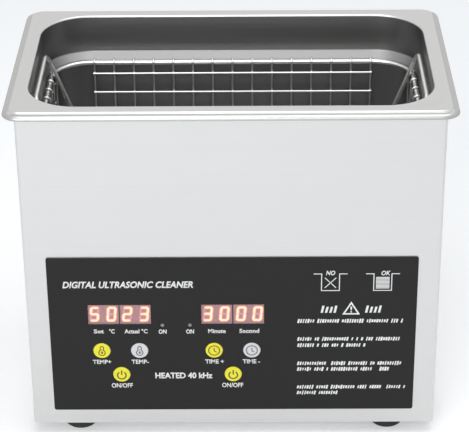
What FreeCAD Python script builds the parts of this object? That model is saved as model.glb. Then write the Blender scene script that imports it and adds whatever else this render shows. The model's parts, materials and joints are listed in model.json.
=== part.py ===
import FreeCAD, Part

# Benchtop ultrasonic cleaner: a drawn steel tank in a sheet steel casing, with a front control panel
# and a lift-out wire basket.
# Frame: millimetres, +Z up, front at -Y, origin on the table under the middle of the casing.

import math
import os
import re

import Sketcher

Vector = FreeCAD.Vector
Rotation = FreeCAD.Rotation

# ---------------------------------------------------------------- driving dimensions
SIZES = {
    # casing
    "foot_height": 8,
    "casing_width": 251,
    "casing_depth": 148,
    "casing_height": 214.2,
    "casing_sheet": 0.8,
    "casing_bend": 2,
    "lip_clearance": 0.8,
    "seal_thickness": 2,
    # drawn tank and its flange
    "tank_sheet": 0.8,
    "flange_overhang": 7,
    "flange_corner": 11,
    "flange_skirt": 4.0,
    "flange_step": 1.2,
    "bead_width": 4,
    "bead_roll": 2.6,
    "mouth_width": 240,
    "mouth_depth": 137,
    "mouth_corner": 30,
    "mouth_bend": 1.2,
    "tank_depth": 100,
    "shoulder_drop": 24.5,
    "shoulder_height": 4.5,
    "shoulder_inset": 4,
    "tank_taper": 1,
    "floor_bend": 12,
    # bottom tray
    "tray_sheet": 1,
    "tray_flange": 14,
    "tray_clearance": 0.2,
    "slot_width": 3,
    "slot_length": 60,
    "slot_pitch": 8,
    # feet and screws
    "foot_inset_side": 28.5,
    "foot_inset_end": 15,
    "foot_top_diameter": 22,
    "foot_base_diameter": 20,
    "foot_recess_diameter": 9,
    "foot_recess_depth": 4.5,
    "foot_screw_diameter": 4,
    "foot_head_height": 2.6,
    "foot_nut_diameter": 8,
    "foot_nut_height": 3.2,
    "foot_edge": 0.8,
    "screw_end": 3,
    "small_screw_diameter": 3,
    "small_head_diameter": 5.6,
    "small_head_height": 1.9,
    "hole_clearance": 0.2,
    "thread_gap": 0.05,
    "tray_screw_height": 7,
    "tray_screw_spread": 90,
    # front panel
    "panel_width": 224,
    "panel_height": 109,
    "panel_low": 18.3,
    "panel_thick": 0.8,
    "panel_corner": 1.5,
    "window_width": 38.2,
    "window_height": 13.5,
    "window_level": 87.8,
    "window_gap": 0.1,
    "heat_column": -69,
    "sonic_column": 0.1,
    "key_diameter": 10.5,
    "key_gap": 0.2,
    "key_proud": 0.4,
    "key_edge": 0.3,
    "key_travel": 0.4,
    "key_running": 0.05,
    "key_spread": 23.2,
    "key_level": 62,
    "power_key_level": 44.6,
    "stem_diameter": 5,
    "stem_gap": 0.3,
    "collar_diameter": 8,
    "collar_thick": 0.8,
    "light_left": -42.9,
    "light_right": -26.1,
    "light_level": 79.8,
    "light_diameter": 3,
    # control board
    "board_thick": 1.6,
    "stud_length": 6.6,
    "control_width": 120,
    "control_height": 76,
    "control_middle": -34,
    "control_level": 67,
    "control_stud_inset": 5,
    "stud_diameter": 5.5,
    "module_height": 13,
    "switch_body": 6,
    "switch_deep": 3.4,
    "plunger_deep": 0.6,
    "light_proud": 0.4,
    # transducers under the tank floor
    "transducer_spread": 110,
    "front_mass_diameter": 59,
    "front_mass_neck": 40,
    "front_mass_height": 26,
    "front_mass_rim": 7,
    "piezo_diameter": 38,
    "piezo_bore": 15,
    "piezo_thick": 5,
    "electrode_thick": 0.3,
    "electrode_tab": 8,
    "electrode_tab_width": 6,
    "back_mass_height": 16,
    "bolt_diameter": 10,
    "bolt_head_diameter": 16,
    "bolt_head_height": 6,
    "bolt_gap": 0.3,
    "bolt_end_gap": 1,
    # heater, sensor and cutout on the tank
    "band_low": 20,
    "band_height": 36,
    "band_thick": 2,
    "band_gap": 0.05,
    "cutout_diameter": 16,
    "cutout_height": 7,
    "cutout_base_diameter": 14,
    "cutout_base_height": 5,
    "tab_thick": 0.8,
    "tab_width": 6.3,
    "tab_length": 8,
    "tab_spread": 8,
    "sensor_flange_diameter": 13,
    "sensor_flange_thick": 1.5,
    "sensor_diameter": 7,
    "sensor_height": 16,
    "sensor_place": 34,
    # driver board on the tray
    "driver_width": 130,
    "driver_depth": 84,
    "driver_middle": -6,
    "driver_standoff": 7,
    "driver_inset": 5,
    "sink_setback": 24,
    "sink_width": 80,
    "sink_thick": 4,
    "sink_height": 30,
    "fin_thick": 2,
    "fin_deep": 12,
    "leg_length": 9,
    "choke_radius": 9.5,
    "choke_thick": 9.6,
    "can_diameter": 16,
    "can_height": 26,
    # inlet, fuse drawer and fan in the back wall
    "inlet_place": 78,
    "inlet_level": 44,
    "inlet_width": 27.4,
    "inlet_height": 30,
    "inlet_deep": 24,
    "inlet_rim": 2.5,
    "inlet_rim_thick": 2.4,
    "inlet_wall": 2.2,
    "mouth_wide": 22.4,
    "mouth_tall": 15,
    "mouth_deep": 17,
    "pin_recess": 4.5,
    "pin_tail": 6,
    "pin_thick": 2,
    "pin_width": 4,
    "pin_spread": 7,
    "pin_rise": 2,
    "drawer_tall": 8,
    "drawer_wide": 20,
    "drawer_deep": 24,
    "drawer_gap": 0.25,
    "grip_deep": 1.2,
    "grip_tall": 1.6,
    "fuse_diameter": 5,
    "fuse_length": 20,
    "fan_size": 60,
    "fan_deep": 15,
    "fan_place": -58,
    "fan_level": 58,
    "fan_hole_spread": 50,
    "fan_hub": 26,
    "fan_tip_gap": 1,
    "fan_bore": 57,
    "fan_blades": 7,
    "fan_axle": 3,
    "fan_seat": 2,
    "fan_bar": 4,
    "fan_root": 2,
    "blade_thick": 1,
    # basket
    "ring_wire": 3,
    "ring_width": 229.2,
    "ring_depth": 116,
    "ring_corner": 25,
    "ring_drop": 28,
    "mesh_wire": 1.3,
    "mesh_pitch": 12.7,
    "row_pitch": 13.1,
    "mesh_gap": 0.05,
    "basket_height": 58.6,
    "mesh_bend": 4,
    "mesh_overhang": 0.65,
    "corner_reach": 6,
    "hook_turn": 120,
    "foot_wire": 3,
    "foot_wire_spread": 88.9,
    "foot_wire_bend": 5,
    "seat_gap": 0.05,
    # handles
    "handle_wire": 3,
    "handle_inset": 3.1,
    "handle_length": 76,
    "handle_corner": 7,
    "handle_pivot": 90,
    "handle_rest_gap": 0.3,
    "clip_wall": 1,
    "clip_gap": 0.1,
    "clip_width": 4,
    "clip_setback": 8.95,
    # leads
    "lead_diameter": 2.2,
    "thin_lead_diameter": 1.4,
}
# basket mesh counts, each way from the middle
WALL_ROWS = 4
# slots each way from the middle one
BACK_SLOTS_EACH_WAY = 3
SLOT_ROUND = "slot_width / 2 - 0.01"
TRAY_SLOTS_EACH_WAY = 2

KEY_PLACES = {
    "key_temp_up": ("heat_column - key_spread / 2", "key_level"),
    "key_temp_down": ("heat_column + key_spread / 2", "key_level"),
    "key_heat_power": ("heat_column", "power_key_level"),
    "key_time_up": ("sonic_column - key_spread / 2", "key_level"),
    "key_time_down": ("sonic_column + key_spread / 2", "key_level"),
    "key_sonic_power": ("sonic_column", "power_key_level"),
}
WINDOW_COLUMNS = ("heat_column", "sonic_column")
LIGHT_COLUMNS = ("light_left", "light_right")
CORNERS = [(side, end) for side in (-1, 1) for end in (-1, 1)]
FOOT_PLACES = [
    (f"{side} * (casing_width / 2 - foot_inset_side)", f"{end} * (casing_depth / 2 - foot_inset_end)")
    for side, end in CORNERS
]
DRIVER_STANDOFFS = [
    (f"{side} * (driver_width / 2 - driver_inset)", f"driver_middle + {end} * (driver_depth / 2 - driver_inset)")
    for side, end in CORNERS
]

# parts on the back of the control board: width, depth, height, place across, height of the middle
CONTROL_CHIPS = {
    "controller_chip": (12, 1.6, 12, "control_middle", "control_level - 4"),
    "driver_chip_left": (10, 1.8, 6, "heat_column", "control_level + 8"),
    "driver_chip_right": (10, 1.8, 6, "sonic_column", "control_level + 8"),
    "ribbon_header": (24, 9, 8, "control_middle", "control_level - 27"),
}
HEADER_DEEP = CONTROL_CHIPS["ribbon_header"][1]

# parts that stand on the driver board: width, depth, height, place across, place back
TERMINAL_ROW = "(driver_middle - driver_depth / 2 + 5)"
FAN_SOCKET = (-50, "(driver_middle + driver_depth / 2 - 6)")
TERMINAL_TALL = 10
SOCKET_TALL = 8
TERMINALS = {
    "cutout_terminal": (12, 8, TERMINAL_TALL, -50, TERMINAL_ROW),
    "transducer_terminal": (24, 8, TERMINAL_TALL, 0, TERMINAL_ROW),
    "mains_terminal": (20, 8, TERMINAL_TALL, 34, TERMINAL_ROW),
    "ribbon_socket": (24, 6, SOCKET_TALL, -30, TERMINAL_ROW),
    "fan_socket": (10, 6, SOCKET_TALL, *FAN_SOCKET),
}
RELAYS = {
    "heater_relay": (19, 15, 15, 52, "driver_middle + 14"),
    "sonic_relay": (19, 15, 15, -52, "driver_middle + 16"),
}
FILM_CAPACITOR = (18, 8, 14, 32, "driver_middle - 28")
CAN_PLACES = (28, 46)
TRANSFORMER_PLACE = (-34, "driver_middle - 10")
TRANSISTOR_PLACES = (-30, -10, 10, 30)
LEG_PITCH = 2.54
FINS = 8
FAN_PITCH = 38

doc = FreeCAD.newDocument("ultrasonic_cleaner")
sheet = doc.addObject("Spreadsheet::Sheet", "sizes")
for row, (alias, size) in enumerate(SIZES.items(), start=1):
    sheet.set(f"A{row}", alias)
    sheet.set(f"B{row}", str(size))
    sheet.setAlias(f"B{row}", alias)
doc.recompute()


# ---------------------------------------------------------------- expressions
def formula(text):
    """The expression as other objects need it, with each size looked up in the sheet."""

    def look_up(word):
        return "sizes." + word.group() if word.group() in SIZES else word.group()

    return re.sub(r"[a-z_]+", look_up, str(text))


def value(text):
    """The number that an expression of the sizes has now."""
    result = sheet.evalExpression(formula(text))
    return float(getattr(result, "Value", result))


def tie(item, setting, text):
    item.setExpression(setting, formula(text))


def put(item, x=0, y=0, z=0):
    for axis, text in (("x", x), ("y", y), ("z", z)):
        tie(item, "Placement.Base." + axis, text)
    return item


# ---------------------------------------------------------------- derived places
case_low = "foot_height"
case_top = "(foot_height + casing_height)"
flange_top = "(foot_height + casing_height + seal_thickness + tank_sheet)"
flange_low = f"({flange_top} - flange_skirt)"
flange_width = "(casing_width + 2 * flange_overhang)"
flange_depth = "(casing_depth + 2 * flange_overhang)"
tank_floor = f"({flange_top} - tank_depth)"
tank_under = f"({tank_floor} - tank_sheet)"
shoulder_top = f"({flange_top} - shoulder_drop)"
shoulder_low = f"({shoulder_top} - shoulder_height)"
front_face = "(-casing_depth / 2)"
front_inside = "(-casing_depth / 2 + casing_sheet)"
back_face = "(casing_depth / 2)"
back_inside = "(casing_depth / 2 - casing_sheet)"
tray_top = "(foot_height + tray_sheet)"
board_front = f"({front_inside} + stud_length)"
board_back = f"({board_front} + board_thick)"
driver_low = f"({tray_top} + driver_standoff)"
driver_top = f"({driver_low} + board_thick)"
sink_face = "(driver_middle + sink_setback)"


# ---------------------------------------------------------------- solids and groups
TURNS = {
    "z": Rotation(),
    "-z": Rotation(Vector(1, 0, 0), 180),
    "y": Rotation(Vector(1, 0, 0), -90),
    "-y": Rotation(Vector(1, 0, 0), 90),
    "x": Rotation(Vector(0, 1, 0), 90),
    "-x": Rotation(Vector(0, 1, 0), -90),
}
nodes = []


def node(item, label):
    """Marks an item as one of the cleaner's own sub-parts, under its own name."""
    item.Label = label
    nodes.append(item)
    return item


def block(name, width, depth, height, x=0, y=0, z=0):
    """A box centred on x and y that stands on z."""
    item = doc.addObject("Part::Box", name)
    tie(item, "Length", width)
    tie(item, "Width", depth)
    tie(item, "Height", height)
    return put(item, f"({x}) - ({width}) / 2", f"({y}) - ({depth}) / 2", z)


def rod(name, diameter, length, x=0, y=0, z=0, axis="z"):
    """A cylinder that starts at a point and runs along an axis."""
    item = doc.addObject("Part::Cylinder", name)
    item.Placement = FreeCAD.Placement(Vector(), TURNS[axis])
    tie(item, "Radius", f"({diameter}) / 2")
    tie(item, "Height", length)
    return put(item, x, y, z)


def elbow(name, bend, diameter, turn, rotation, x, y, z):
    """A bent stretch of round wire: part of a torus about its own turned Z axis, from its X axis."""
    item = doc.addObject("Part::Torus", name)
    item.Placement = FreeCAD.Placement(Vector(), rotation)
    tie(item, "Radius1", bend)
    tie(item, "Radius2", f"({diameter}) / 2")
    tie(item, "Angle3", turn)
    return put(item, x, y, z)


def join(name, *items):
    item = doc.addObject("Part::MultiFuse", name)
    item.Shapes = list(items)
    return item


def group(name, items):
    item = doc.addObject("Part::Compound", name)
    item.Links = list(items)
    return item


def cut(name, base, *tools):
    item = doc.addObject("Part::Cut", name)
    item.Base = base
    item.Tool = tools[0] if len(tools) == 1 else group(name + "_tools", tools)
    return item


def copy_of(item, x=0, y=0, z=0, turn=None):
    """Another of the same piece, moved and turned as a whole."""
    link = doc.addObject("App::Link", item.Name + "_copy")
    link.LinkedObject = item
    if turn is not None:
        link.Placement = FreeCAD.Placement(Vector(), turn)
    return put(link, x, y, z)


def wire_loop(name, width, depth, corner, diameter):
    """A closed rounded rectangle of round wire in the XY plane, about the origin."""
    parts = []
    run_x = f"({width}) - 2 * ({corner})"
    run_y = f"({depth}) - 2 * ({corner})"
    for side in (-1, 1):
        parts.append(rod(name + "_long", diameter, run_x, f"-({run_x}) / 2", f"{side} * ({depth}) / 2", 0, "x"))
        parts.append(rod(name + "_end", diameter, run_y, f"{side} * ({width}) / 2", f"-({run_y}) / 2", 0, "y"))
    for quarter, (sign_x, sign_y) in enumerate(((1, 1), (-1, 1), (-1, -1), (1, -1))):
        turned = Rotation(Vector(0, 0, 1), 90 * quarter)
        x = f"{sign_x} * ({run_x}) / 2"
        y = f"{sign_y} * ({run_y}) / 2"
        parts.append(elbow(name + "_corner", corner, diameter, 90, turned, x, y, 0))
    return join(name, *parts)


# ---------------------------------------------------------------- bodies with sketches
def sketch(body, name, role, offset=0):
    drawing = body.newObject("Sketcher::SketchObject", name)
    plane = next(item for item in body.Origin.OriginFeatures if item.Role == role)
    drawing.AttachmentSupport = [(plane, "")]
    drawing.MapMode = "FlatFace"
    tie(drawing, "AttachmentOffset.Base.z", offset)
    return drawing


def fix(drawing, constraint, text):
    index = drawing.addConstraint(constraint)
    tie(drawing, f"Constraints[{index}]", text)


def anchor(drawing, geometry, point, x, y):
    """Holds a point of the drawing at tied distances from its origin."""
    fix(drawing, Sketcher.Constraint("DistanceX", -1, 1, geometry, point, value(x)), x)
    fix(drawing, Sketcher.Constraint("DistanceY", -1, 1, geometry, point, value(y)), y)


def draw_circle(drawing, diameter, x=0, y=0):
    centre = Vector(value(x), value(y), 0)
    circle = Part.Circle(centre, Vector(0, 0, 1), value(diameter) / 2)
    index = drawing.addGeometry(circle, False)
    anchor(drawing, index, 3, x, y)
    fix(drawing, Sketcher.Constraint("Radius", index, value(diameter) / 2), f"({diameter}) / 2")


def draw_outline(drawing, corners):
    """A closed outline of straight lines through tied corners."""
    spots = [Vector(value(x), value(y), 0) for x, y in corners]
    ends = spots[1:] + spots[:1]
    lines = [drawing.addGeometry(Part.LineSegment(a, b), False) for a, b in zip(spots, ends)]
    for place, line in enumerate(lines):
        following = lines[(place + 1) % len(lines)]
        drawing.addConstraint(Sketcher.Constraint("Coincident", line, 2, following, 1))
        anchor(drawing, line, 1, *corners[place])


def draw_box(drawing, width, height, x=0, y=0):
    left, right = f"({x}) - ({width}) / 2", f"({x}) + ({width}) / 2"
    low, high = f"({y}) - ({height}) / 2", f"({y}) + ({height}) / 2"
    draw_outline(drawing, [(left, low), (right, low), (right, high), (left, high)])


def draw_rounded(drawing, width, height, corner, x=0, y=0):
    """A rounded rectangle: four lines, four tangent arcs of one radius, two tied arc centres."""
    middle = Vector(value(x), value(y), 0)
    radius = value(corner)
    reach = (value(width) / 2 - radius, value(height) / 2 - radius)
    sides, bends = [], []
    for quarter in range(4):
        turn = Rotation(Vector(0, 0, 1), 90 * quarter)
        across, along = (reach[1], reach[0]) if quarter % 2 == 0 else (reach[0], reach[1])
        start = turn.multVec(Vector(-along, -across - radius, 0)) + middle
        end = turn.multVec(Vector(along, -across - radius, 0)) + middle
        sides.append(drawing.addGeometry(Part.LineSegment(start, end), False))
        centre = turn.multVec(Vector(along, -across, 0)) + middle
        circle = Part.Circle(centre, Vector(0, 0, 1), radius)
        first = math.radians(90 * quarter - 90)
        bends.append(drawing.addGeometry(Part.ArcOfCircle(circle, first, first + math.pi / 2), False))
    for quarter in range(4):
        after = sides[(quarter + 1) % 4]
        drawing.addConstraint(Sketcher.Constraint("Tangent", sides[quarter], 2, bends[quarter], 1))
        drawing.addConstraint(Sketcher.Constraint("Tangent", bends[quarter], 2, after, 1))
        kind = "Horizontal" if quarter % 2 == 0 else "Vertical"
        drawing.addConstraint(Sketcher.Constraint(kind, sides[quarter]))
    for bend in bends[1:]:
        drawing.addConstraint(Sketcher.Constraint("Equal", bends[0], bend))
    fix(drawing, Sketcher.Constraint("Radius", bends[0], radius), corner)
    half_x, half_y = f"(({width}) / 2 - ({corner}))", f"(({height}) / 2 - ({corner}))"
    anchor(drawing, bends[1], 3, f"({x}) + {half_x}", f"({y}) + {half_y}")
    anchor(drawing, bends[3], 3, f"({x}) - {half_x}", f"({y}) - {half_y}")


def pad(body, drawing, length, reverse=False):
    feature = body.newObject("PartDesign::Pad", drawing.Name + "_pad")
    feature.Profile = drawing
    feature.Reversed = reverse
    tie(feature, "Length", length)
    return feature


def pocket(body, drawing, length, reverse=False):
    """Cuts the drawing out of the body, and makes sure that the cut met material."""
    doc.recompute()
    before = body.Shape.Volume
    feature = body.newObject("PartDesign::Pocket", drawing.Name + "_pocket")
    feature.Profile = drawing
    feature.Reversed = reverse
    tie(feature, "Length", length)
    doc.recompute()
    if not body.Shape.Volume < before - 1e-6:
        raise ValueError(f"{feature.Name} cuts nothing")
    return feature


def turned(body, drawing):
    """Revolves a profile drawn in XZ about the sketch's upright axis."""
    feature = body.newObject("PartDesign::Revolution", drawing.Name + "_turned")
    feature.Profile = drawing
    feature.ReferenceAxis = (drawing, ["V_Axis"])
    feature.Angle = 360
    return feature


def fillet(body, radius, test):
    """Rounds the edges of the body that pass a geometric test."""
    doc.recompute()
    base = body.Tip
    names = [f"Edge{place}" for place, edge in enumerate(base.Shape.Edges, start=1) if test(edge)]
    if not names:
        raise ValueError(f"no edge to round on {body.Label}")
    feature = body.newObject("PartDesign::Fillet", body.Name + "_fillet")
    feature.Base = (base, names)
    tie(feature, "Radius", radius)
    return feature


def level_edge(edge, height, within=None, outside=None):
    """True for an edge that lies at one height, inside or outside a half-width and half-depth."""
    box = edge.BoundBox
    if abs(box.ZMin - height) > 0.01 or abs(box.ZMax - height) > 0.01:
        return False
    reach_x, reach_y = max(abs(box.XMin), abs(box.XMax)), max(abs(box.YMin), abs(box.YMax))
    if within is not None and (reach_x > within[0] + 0.01 or reach_y > within[1] + 0.01):
        return False
    if outside is not None and reach_x < outside[0] - 0.01 and reach_y < outside[1] - 0.01:
        return False
    return True


# ---------------------------------------------------------------- casing
def housing_shell():
    body = doc.addObject("PartDesign::Body", "housing_shell")
    outline = sketch(body, "casing_outline", "XY_Plane", case_low)
    draw_rounded(outline, "casing_width", "casing_depth", "casing_bend")
    pad(body, outline, "casing_height")
    hollow = sketch(body, "casing_hollow", "XY_Plane", case_low)
    inner_bend = "casing_bend - casing_sheet"
    draw_rounded(hollow, "casing_width - 2 * casing_sheet", "casing_depth - 2 * casing_sheet", inner_bend)
    pocket(body, hollow, "casing_height - casing_sheet", reverse=True)
    lip = sketch(body, "casing_lip_mouth", "XY_Plane", case_top)
    reach = "2 * (tank_sheet + lip_clearance)"
    draw_rounded(lip, f"mouth_width + {reach}", f"mouth_depth + {reach}", "mouth_corner + tank_sheet + lip_clearance")
    pocket(body, lip, "casing_sheet * 2")
    front = sketch(body, "casing_front_holes", "XZ_Plane", f"-{front_face}")
    for column, place in KEY_PLACES.values():
        draw_circle(front, "stem_diameter + 2 * stem_gap", column, place)
    for column in WINDOW_COLUMNS:
        draw_box(front, f"window_width + 2 * window_gap", "module_height + 4 * window_gap", column, "window_level")
    for column in LIGHT_COLUMNS:
        draw_circle(front, "light_diameter + 2 * hole_clearance", column, "light_level")
    pocket(body, front, "casing_sheet")
    back = sketch(body, "casing_back_holes", "XZ_Plane", f"-{back_face}")
    gap = "2 * hole_clearance"
    draw_box(back, f"inlet_width + {gap}", f"inlet_height + {gap}", "inlet_place", "inlet_level")
    for side, rise in CORNERS:
        x = f"fan_place + {side} * fan_hole_spread / 2"
        z = f"fan_level + {rise} * fan_hole_spread / 2"
        draw_circle(back, f"small_screw_diameter + {gap}", x, z)
    for step in range(-BACK_SLOTS_EACH_WAY, BACK_SLOTS_EACH_WAY + 1):
        chord = f"sqrt(fan_bore ^ 2 / 4 - ({step} * slot_pitch) ^ 2) * 2 - slot_width * 2"
        z = f"fan_level + {step} * slot_pitch"
        draw_rounded(back, chord, "slot_width", SLOT_ROUND, "fan_place", z)
    pocket(body, back, "casing_sheet", reverse=True)
    sides = sketch(body, "casing_side_holes", "YZ_Plane", "casing_width / 2")
    for side in (-1, 1):
        y = f"{side} * tray_screw_spread / 2"
        draw_circle(sides, f"small_screw_diameter + {gap}", y, "foot_height + tray_screw_height")
    pocket(body, sides, "casing_width")
    node(body, "housing_shell")


def bottom_plate():
    """A shallow tray with its flange turned up inside the casing, slotted under the driver board."""
    body = doc.addObject("PartDesign::Body", "bottom_plate")
    shrink = "2 * (casing_sheet + tray_clearance)"
    width, depth = f"casing_width - {shrink}", f"casing_depth - {shrink}"
    outline = sketch(body, "tray_outline", "XY_Plane", case_low)
    draw_rounded(outline, width, depth, "casing_bend - casing_sheet")
    pad(body, outline, "tray_flange")
    inner = sketch(body, "tray_hollow", "XY_Plane", tray_top)
    draw_box(inner, f"{width} - 2 * tray_sheet", f"{depth} - 2 * tray_sheet")
    pocket(body, inner, "tray_flange", reverse=True)
    holes = sketch(body, "tray_holes", "XY_Plane", tray_top)
    for x, y in FOOT_PLACES:
        draw_circle(holes, "foot_screw_diameter + 2 * hole_clearance", x, y)
    for x, y in DRIVER_STANDOFFS:
        draw_circle(holes, "small_screw_diameter + 2 * hole_clearance", x, y)
    for step in range(-TRAY_SLOTS_EACH_WAY, TRAY_SLOTS_EACH_WAY + 1):
        y = f"driver_middle + {step} * slot_pitch"
        draw_rounded(holes, "slot_length", "slot_width", SLOT_ROUND, 0, y)
    pocket(body, holes, "tray_sheet * 1.5")
    sides = sketch(body, "tray_side_holes", "YZ_Plane", "casing_width / 2")
    for side in (-1, 1):
        y = f"{side} * tray_screw_spread / 2"
        draw_circle(sides, "small_screw_diameter + 2 * hole_clearance", y, "foot_height + tray_screw_height")
    pocket(body, sides, "casing_width")
    node(body, "bottom_plate")


def screw(name, diameter, length, head_diameter, head_height, x, y, z, axis):
    """A pan-head screw: the head's underside is at the point, the shank runs along the axis."""
    opposite = axis[1:] if axis.startswith("-") else "-" + axis
    shank = rod(name + "_shank", diameter, length, x, y, z, axis)
    head = rod(name + "_head", head_diameter, head_height, x, y, z, opposite)
    socket = rod(name + "_socket", f"({head_diameter}) * 0.4", f"({head_height}) * 0.6", x, y, z, opposite)
    away = {"x": (1, 0, 0), "y": (0, 1, 0), "z": (0, 0, 1)}[axis[-1]]
    sign = 1 if axis.startswith("-") else -1
    shift = f"({head_height}) * 0.45 * {sign}"
    put(socket, *[f"({base}) + {step} * {shift}" for base, step in zip((x, y, z), away)])
    return cut(name, join(name + "_body", shank, head), socket)


def fasteners():
    length = "casing_sheet + tray_clearance + tray_sheet + screw_end"
    small_head = ("small_head_diameter", "small_head_height")
    screws = []
    for side, axis in ((1, "-x"), (-1, "x")):
        for end in (-1, 1):
            x, y = f"{side} * casing_width / 2", f"{end} * tray_screw_spread / 2"
            z = "foot_height + tray_screw_height"
            screws.append(screw("tray_screw", "small_screw_diameter", length, *small_head, x, y, z, axis))
    node(group("bottom_plate_screws", screws), "bottom_plate_screws")

    screws = []
    for x, y in FOOT_PLACES:
        length = "foot_height - foot_recess_depth + tray_sheet + foot_nut_height + screw_end"
        head = ("foot_recess_diameter - 1", "foot_head_height")
        screws.append(screw("foot_screw", "foot_screw_diameter", length, *head, x, y, "foot_recess_depth", "z"))
        nut = rod("foot_nut_blank", "foot_nut_diameter", "foot_nut_height", x, y, tray_top)
        hole = rod("foot_nut_hole", "foot_screw_diameter + 2 * thread_gap", "foot_nut_height", x, y, tray_top)
        screws.append(cut("foot_nut", nut, hole))
    node(group("foot_screws", screws), "foot_screws")


def rubber_feet():
    """Tapered rubber feet with a recess for the screw head."""
    body = doc.addObject("PartDesign::Body", "rubber_foot")
    profile = sketch(body, "foot_profile", "XZ_Plane")
    bore = "foot_screw_diameter / 2 + hole_clearance / 2"
    draw_outline(profile, [
        ("foot_recess_diameter / 2", 0),
        ("foot_base_diameter / 2 - foot_edge", 0),
        ("foot_base_diameter / 2", "foot_edge"),
        ("foot_top_diameter / 2", "foot_height"),
        (bore, "foot_height"),
        (bore, "foot_recess_depth"),
        ("foot_recess_diameter / 2", "foot_recess_depth"),
    ])
    turned(body, profile)
    feet = [copy_of(body, x, y) for x, y in FOOT_PLACES]
    node(group("rubber_feet", feet), "rubber_feet")


# ---------------------------------------------------------------- tank
TANK_LEVELS = [
    # level, inset from the mouth on each side, corner radius
    (flange_top, "0", "mouth_corner"),
    (shoulder_top, "0", "mouth_corner"),
    (shoulder_low, "shoulder_inset", "mouth_corner - shoulder_inset"),
    (tank_floor, "(shoulder_inset + tank_taper)", "mouth_corner - shoulder_inset - tank_taper"),
]


def tank_sections(body, name, grow, levels):
    """Rounded rectangles through the tank, each grown outwards by the same amount."""
    drawings = []
    for level, inset, corner in levels:
        drawing = sketch(body, name, "XY_Plane", level)
        width = f"mouth_width - 2 * ({inset}) + 2 * ({grow})"
        depth = f"mouth_depth - 2 * ({inset}) + 2 * ({grow})"
        draw_rounded(drawing, width, depth, f"{corner} + ({grow})")
        drawings.append(drawing)
    return drawings


def loft(body, name, kind, drawings):
    feature = body.newObject(f"PartDesign::{kind}Loft", name)
    feature.Profile = drawings[0]
    feature.Sections = drawings[1:]
    feature.Ruled = True
    return feature


def tank():
    """One drawn sheet: flat flange, small step, rolled bead, upper wall, shoulder, lower wall, floor."""
    body = doc.addObject("PartDesign::Body", "tank")
    bead_top = f"({flange_top} - flange_step)"
    outer = sketch(body, "flange_outline", "XY_Plane", flange_low)
    draw_rounded(outer, flange_width, flange_depth, "flange_corner")
    pad(body, outer, f"{bead_top} - {flange_low}")
    flat = sketch(body, "flange_flat", "XY_Plane", bead_top)
    flat_size = (f"{flange_width} - 2 * bead_width", f"{flange_depth} - 2 * bead_width", "flange_corner - bead_width")
    draw_rounded(flat, *flat_size)
    pad(body, flat, "flange_step")
    half = (value(flange_width) / 2, value(flange_depth) / 2)
    fillet(body, "bead_roll", lambda edge: level_edge(edge, value(bead_top), outside=half))
    skirt = sketch(body, "skirt_hollow", "XY_Plane", flange_low)
    shrink = "2 * tank_sheet"
    draw_rounded(skirt, f"{flange_width} - {shrink}", f"{flange_depth} - {shrink}", "flange_corner - tank_sheet")
    pocket(body, skirt, f"{bead_top} - tank_sheet - {flange_low}", reverse=True)
    under = value(f"{bead_top} - tank_sheet")
    half = (value(f"{flange_width} / 2 - tank_sheet"), value(f"{flange_depth} / 2 - tank_sheet"))
    fillet(body, "bead_roll - tank_sheet", lambda edge: level_edge(edge, under, outside=half))
    step = sketch(body, "step_hollow", "XY_Plane", f"{bead_top} - tank_sheet")
    width, depth, corner = flat_size
    draw_rounded(step, f"{width} - {shrink}", f"{depth} - {shrink}", f"{corner} - tank_sheet")
    pocket(body, step, "flange_step", reverse=True)
    levels = [(f"{flange_top} - tank_sheet / 2", "0", "mouth_corner")] + TANK_LEVELS[1:3]
    levels.append((tank_under, *TANK_LEVELS[3][1:]))
    loft(body, "tank_outer", "Additive", tank_sections(body, "tank_outer_section", "tank_sheet", levels))
    half = (value("mouth_width / 2 + tank_sheet"), value("mouth_depth / 2 + tank_sheet"))
    under = value(f"{flange_top} - tank_sheet")
    fillet(body, "mouth_bend - tank_sheet", lambda edge: level_edge(edge, under, within=half))
    loft(body, "tank_inner", "Subtractive", tank_sections(body, "tank_inner_section", "0", TANK_LEVELS))
    inside = value(tank_floor)
    fillet(body, "floor_bend", lambda edge: level_edge(edge, inside))
    outside = value(tank_under)
    fillet(body, "floor_bend + tank_sheet", lambda edge: level_edge(edge, outside))
    high, half = value(flange_top), (value("mouth_width / 2"), value("mouth_depth / 2"))
    fillet(body, "mouth_bend", lambda edge: level_edge(edge, high, within=half))
    node(body, "tank")


def tank_seal():
    """A flat gasket between the casing's lip and the flange."""
    body = doc.addObject("PartDesign::Body", "tank_seal")
    outer = sketch(body, "seal_outline", "XY_Plane", case_top)
    draw_rounded(outer, "casing_width", "casing_depth", "casing_bend + 4")
    pad(body, outer, "seal_thickness")
    inner = sketch(body, "seal_mouth", "XY_Plane", case_top)
    gap = "(tank_sheet + mouth_bend)"
    draw_rounded(inner, f"mouth_width + 2 * {gap}", f"mouth_depth + 2 * {gap}", f"mouth_corner + {gap}")
    pocket(body, inner, "seal_thickness", reverse=True)
    node(body, "tank_seal")


def heating_band():
    """A flat heater wrapped round the lower wall, which narrows with it."""
    body = doc.addObject("PartDesign::Body", "heating_band")
    fall = f"({shoulder_low} - {tank_floor})"
    levels = []
    for rise in ("(band_low + band_height)", "band_low"):
        inset = f"(shoulder_inset + tank_taper * (1 - {rise} / {fall}))"
        levels.append((f"{tank_floor} + {rise}", inset, f"mouth_corner - {inset}"))
    outer = tank_sections(body, "band_outer_section", "tank_sheet + band_gap + band_thick", levels)
    loft(body, "band_outer", "Additive", outer)
    inner = tank_sections(body, "band_inner_section", "tank_sheet + band_gap", levels)
    loft(body, "band_inner", "Subtractive", inner)
    node(body, "heating_band")


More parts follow.
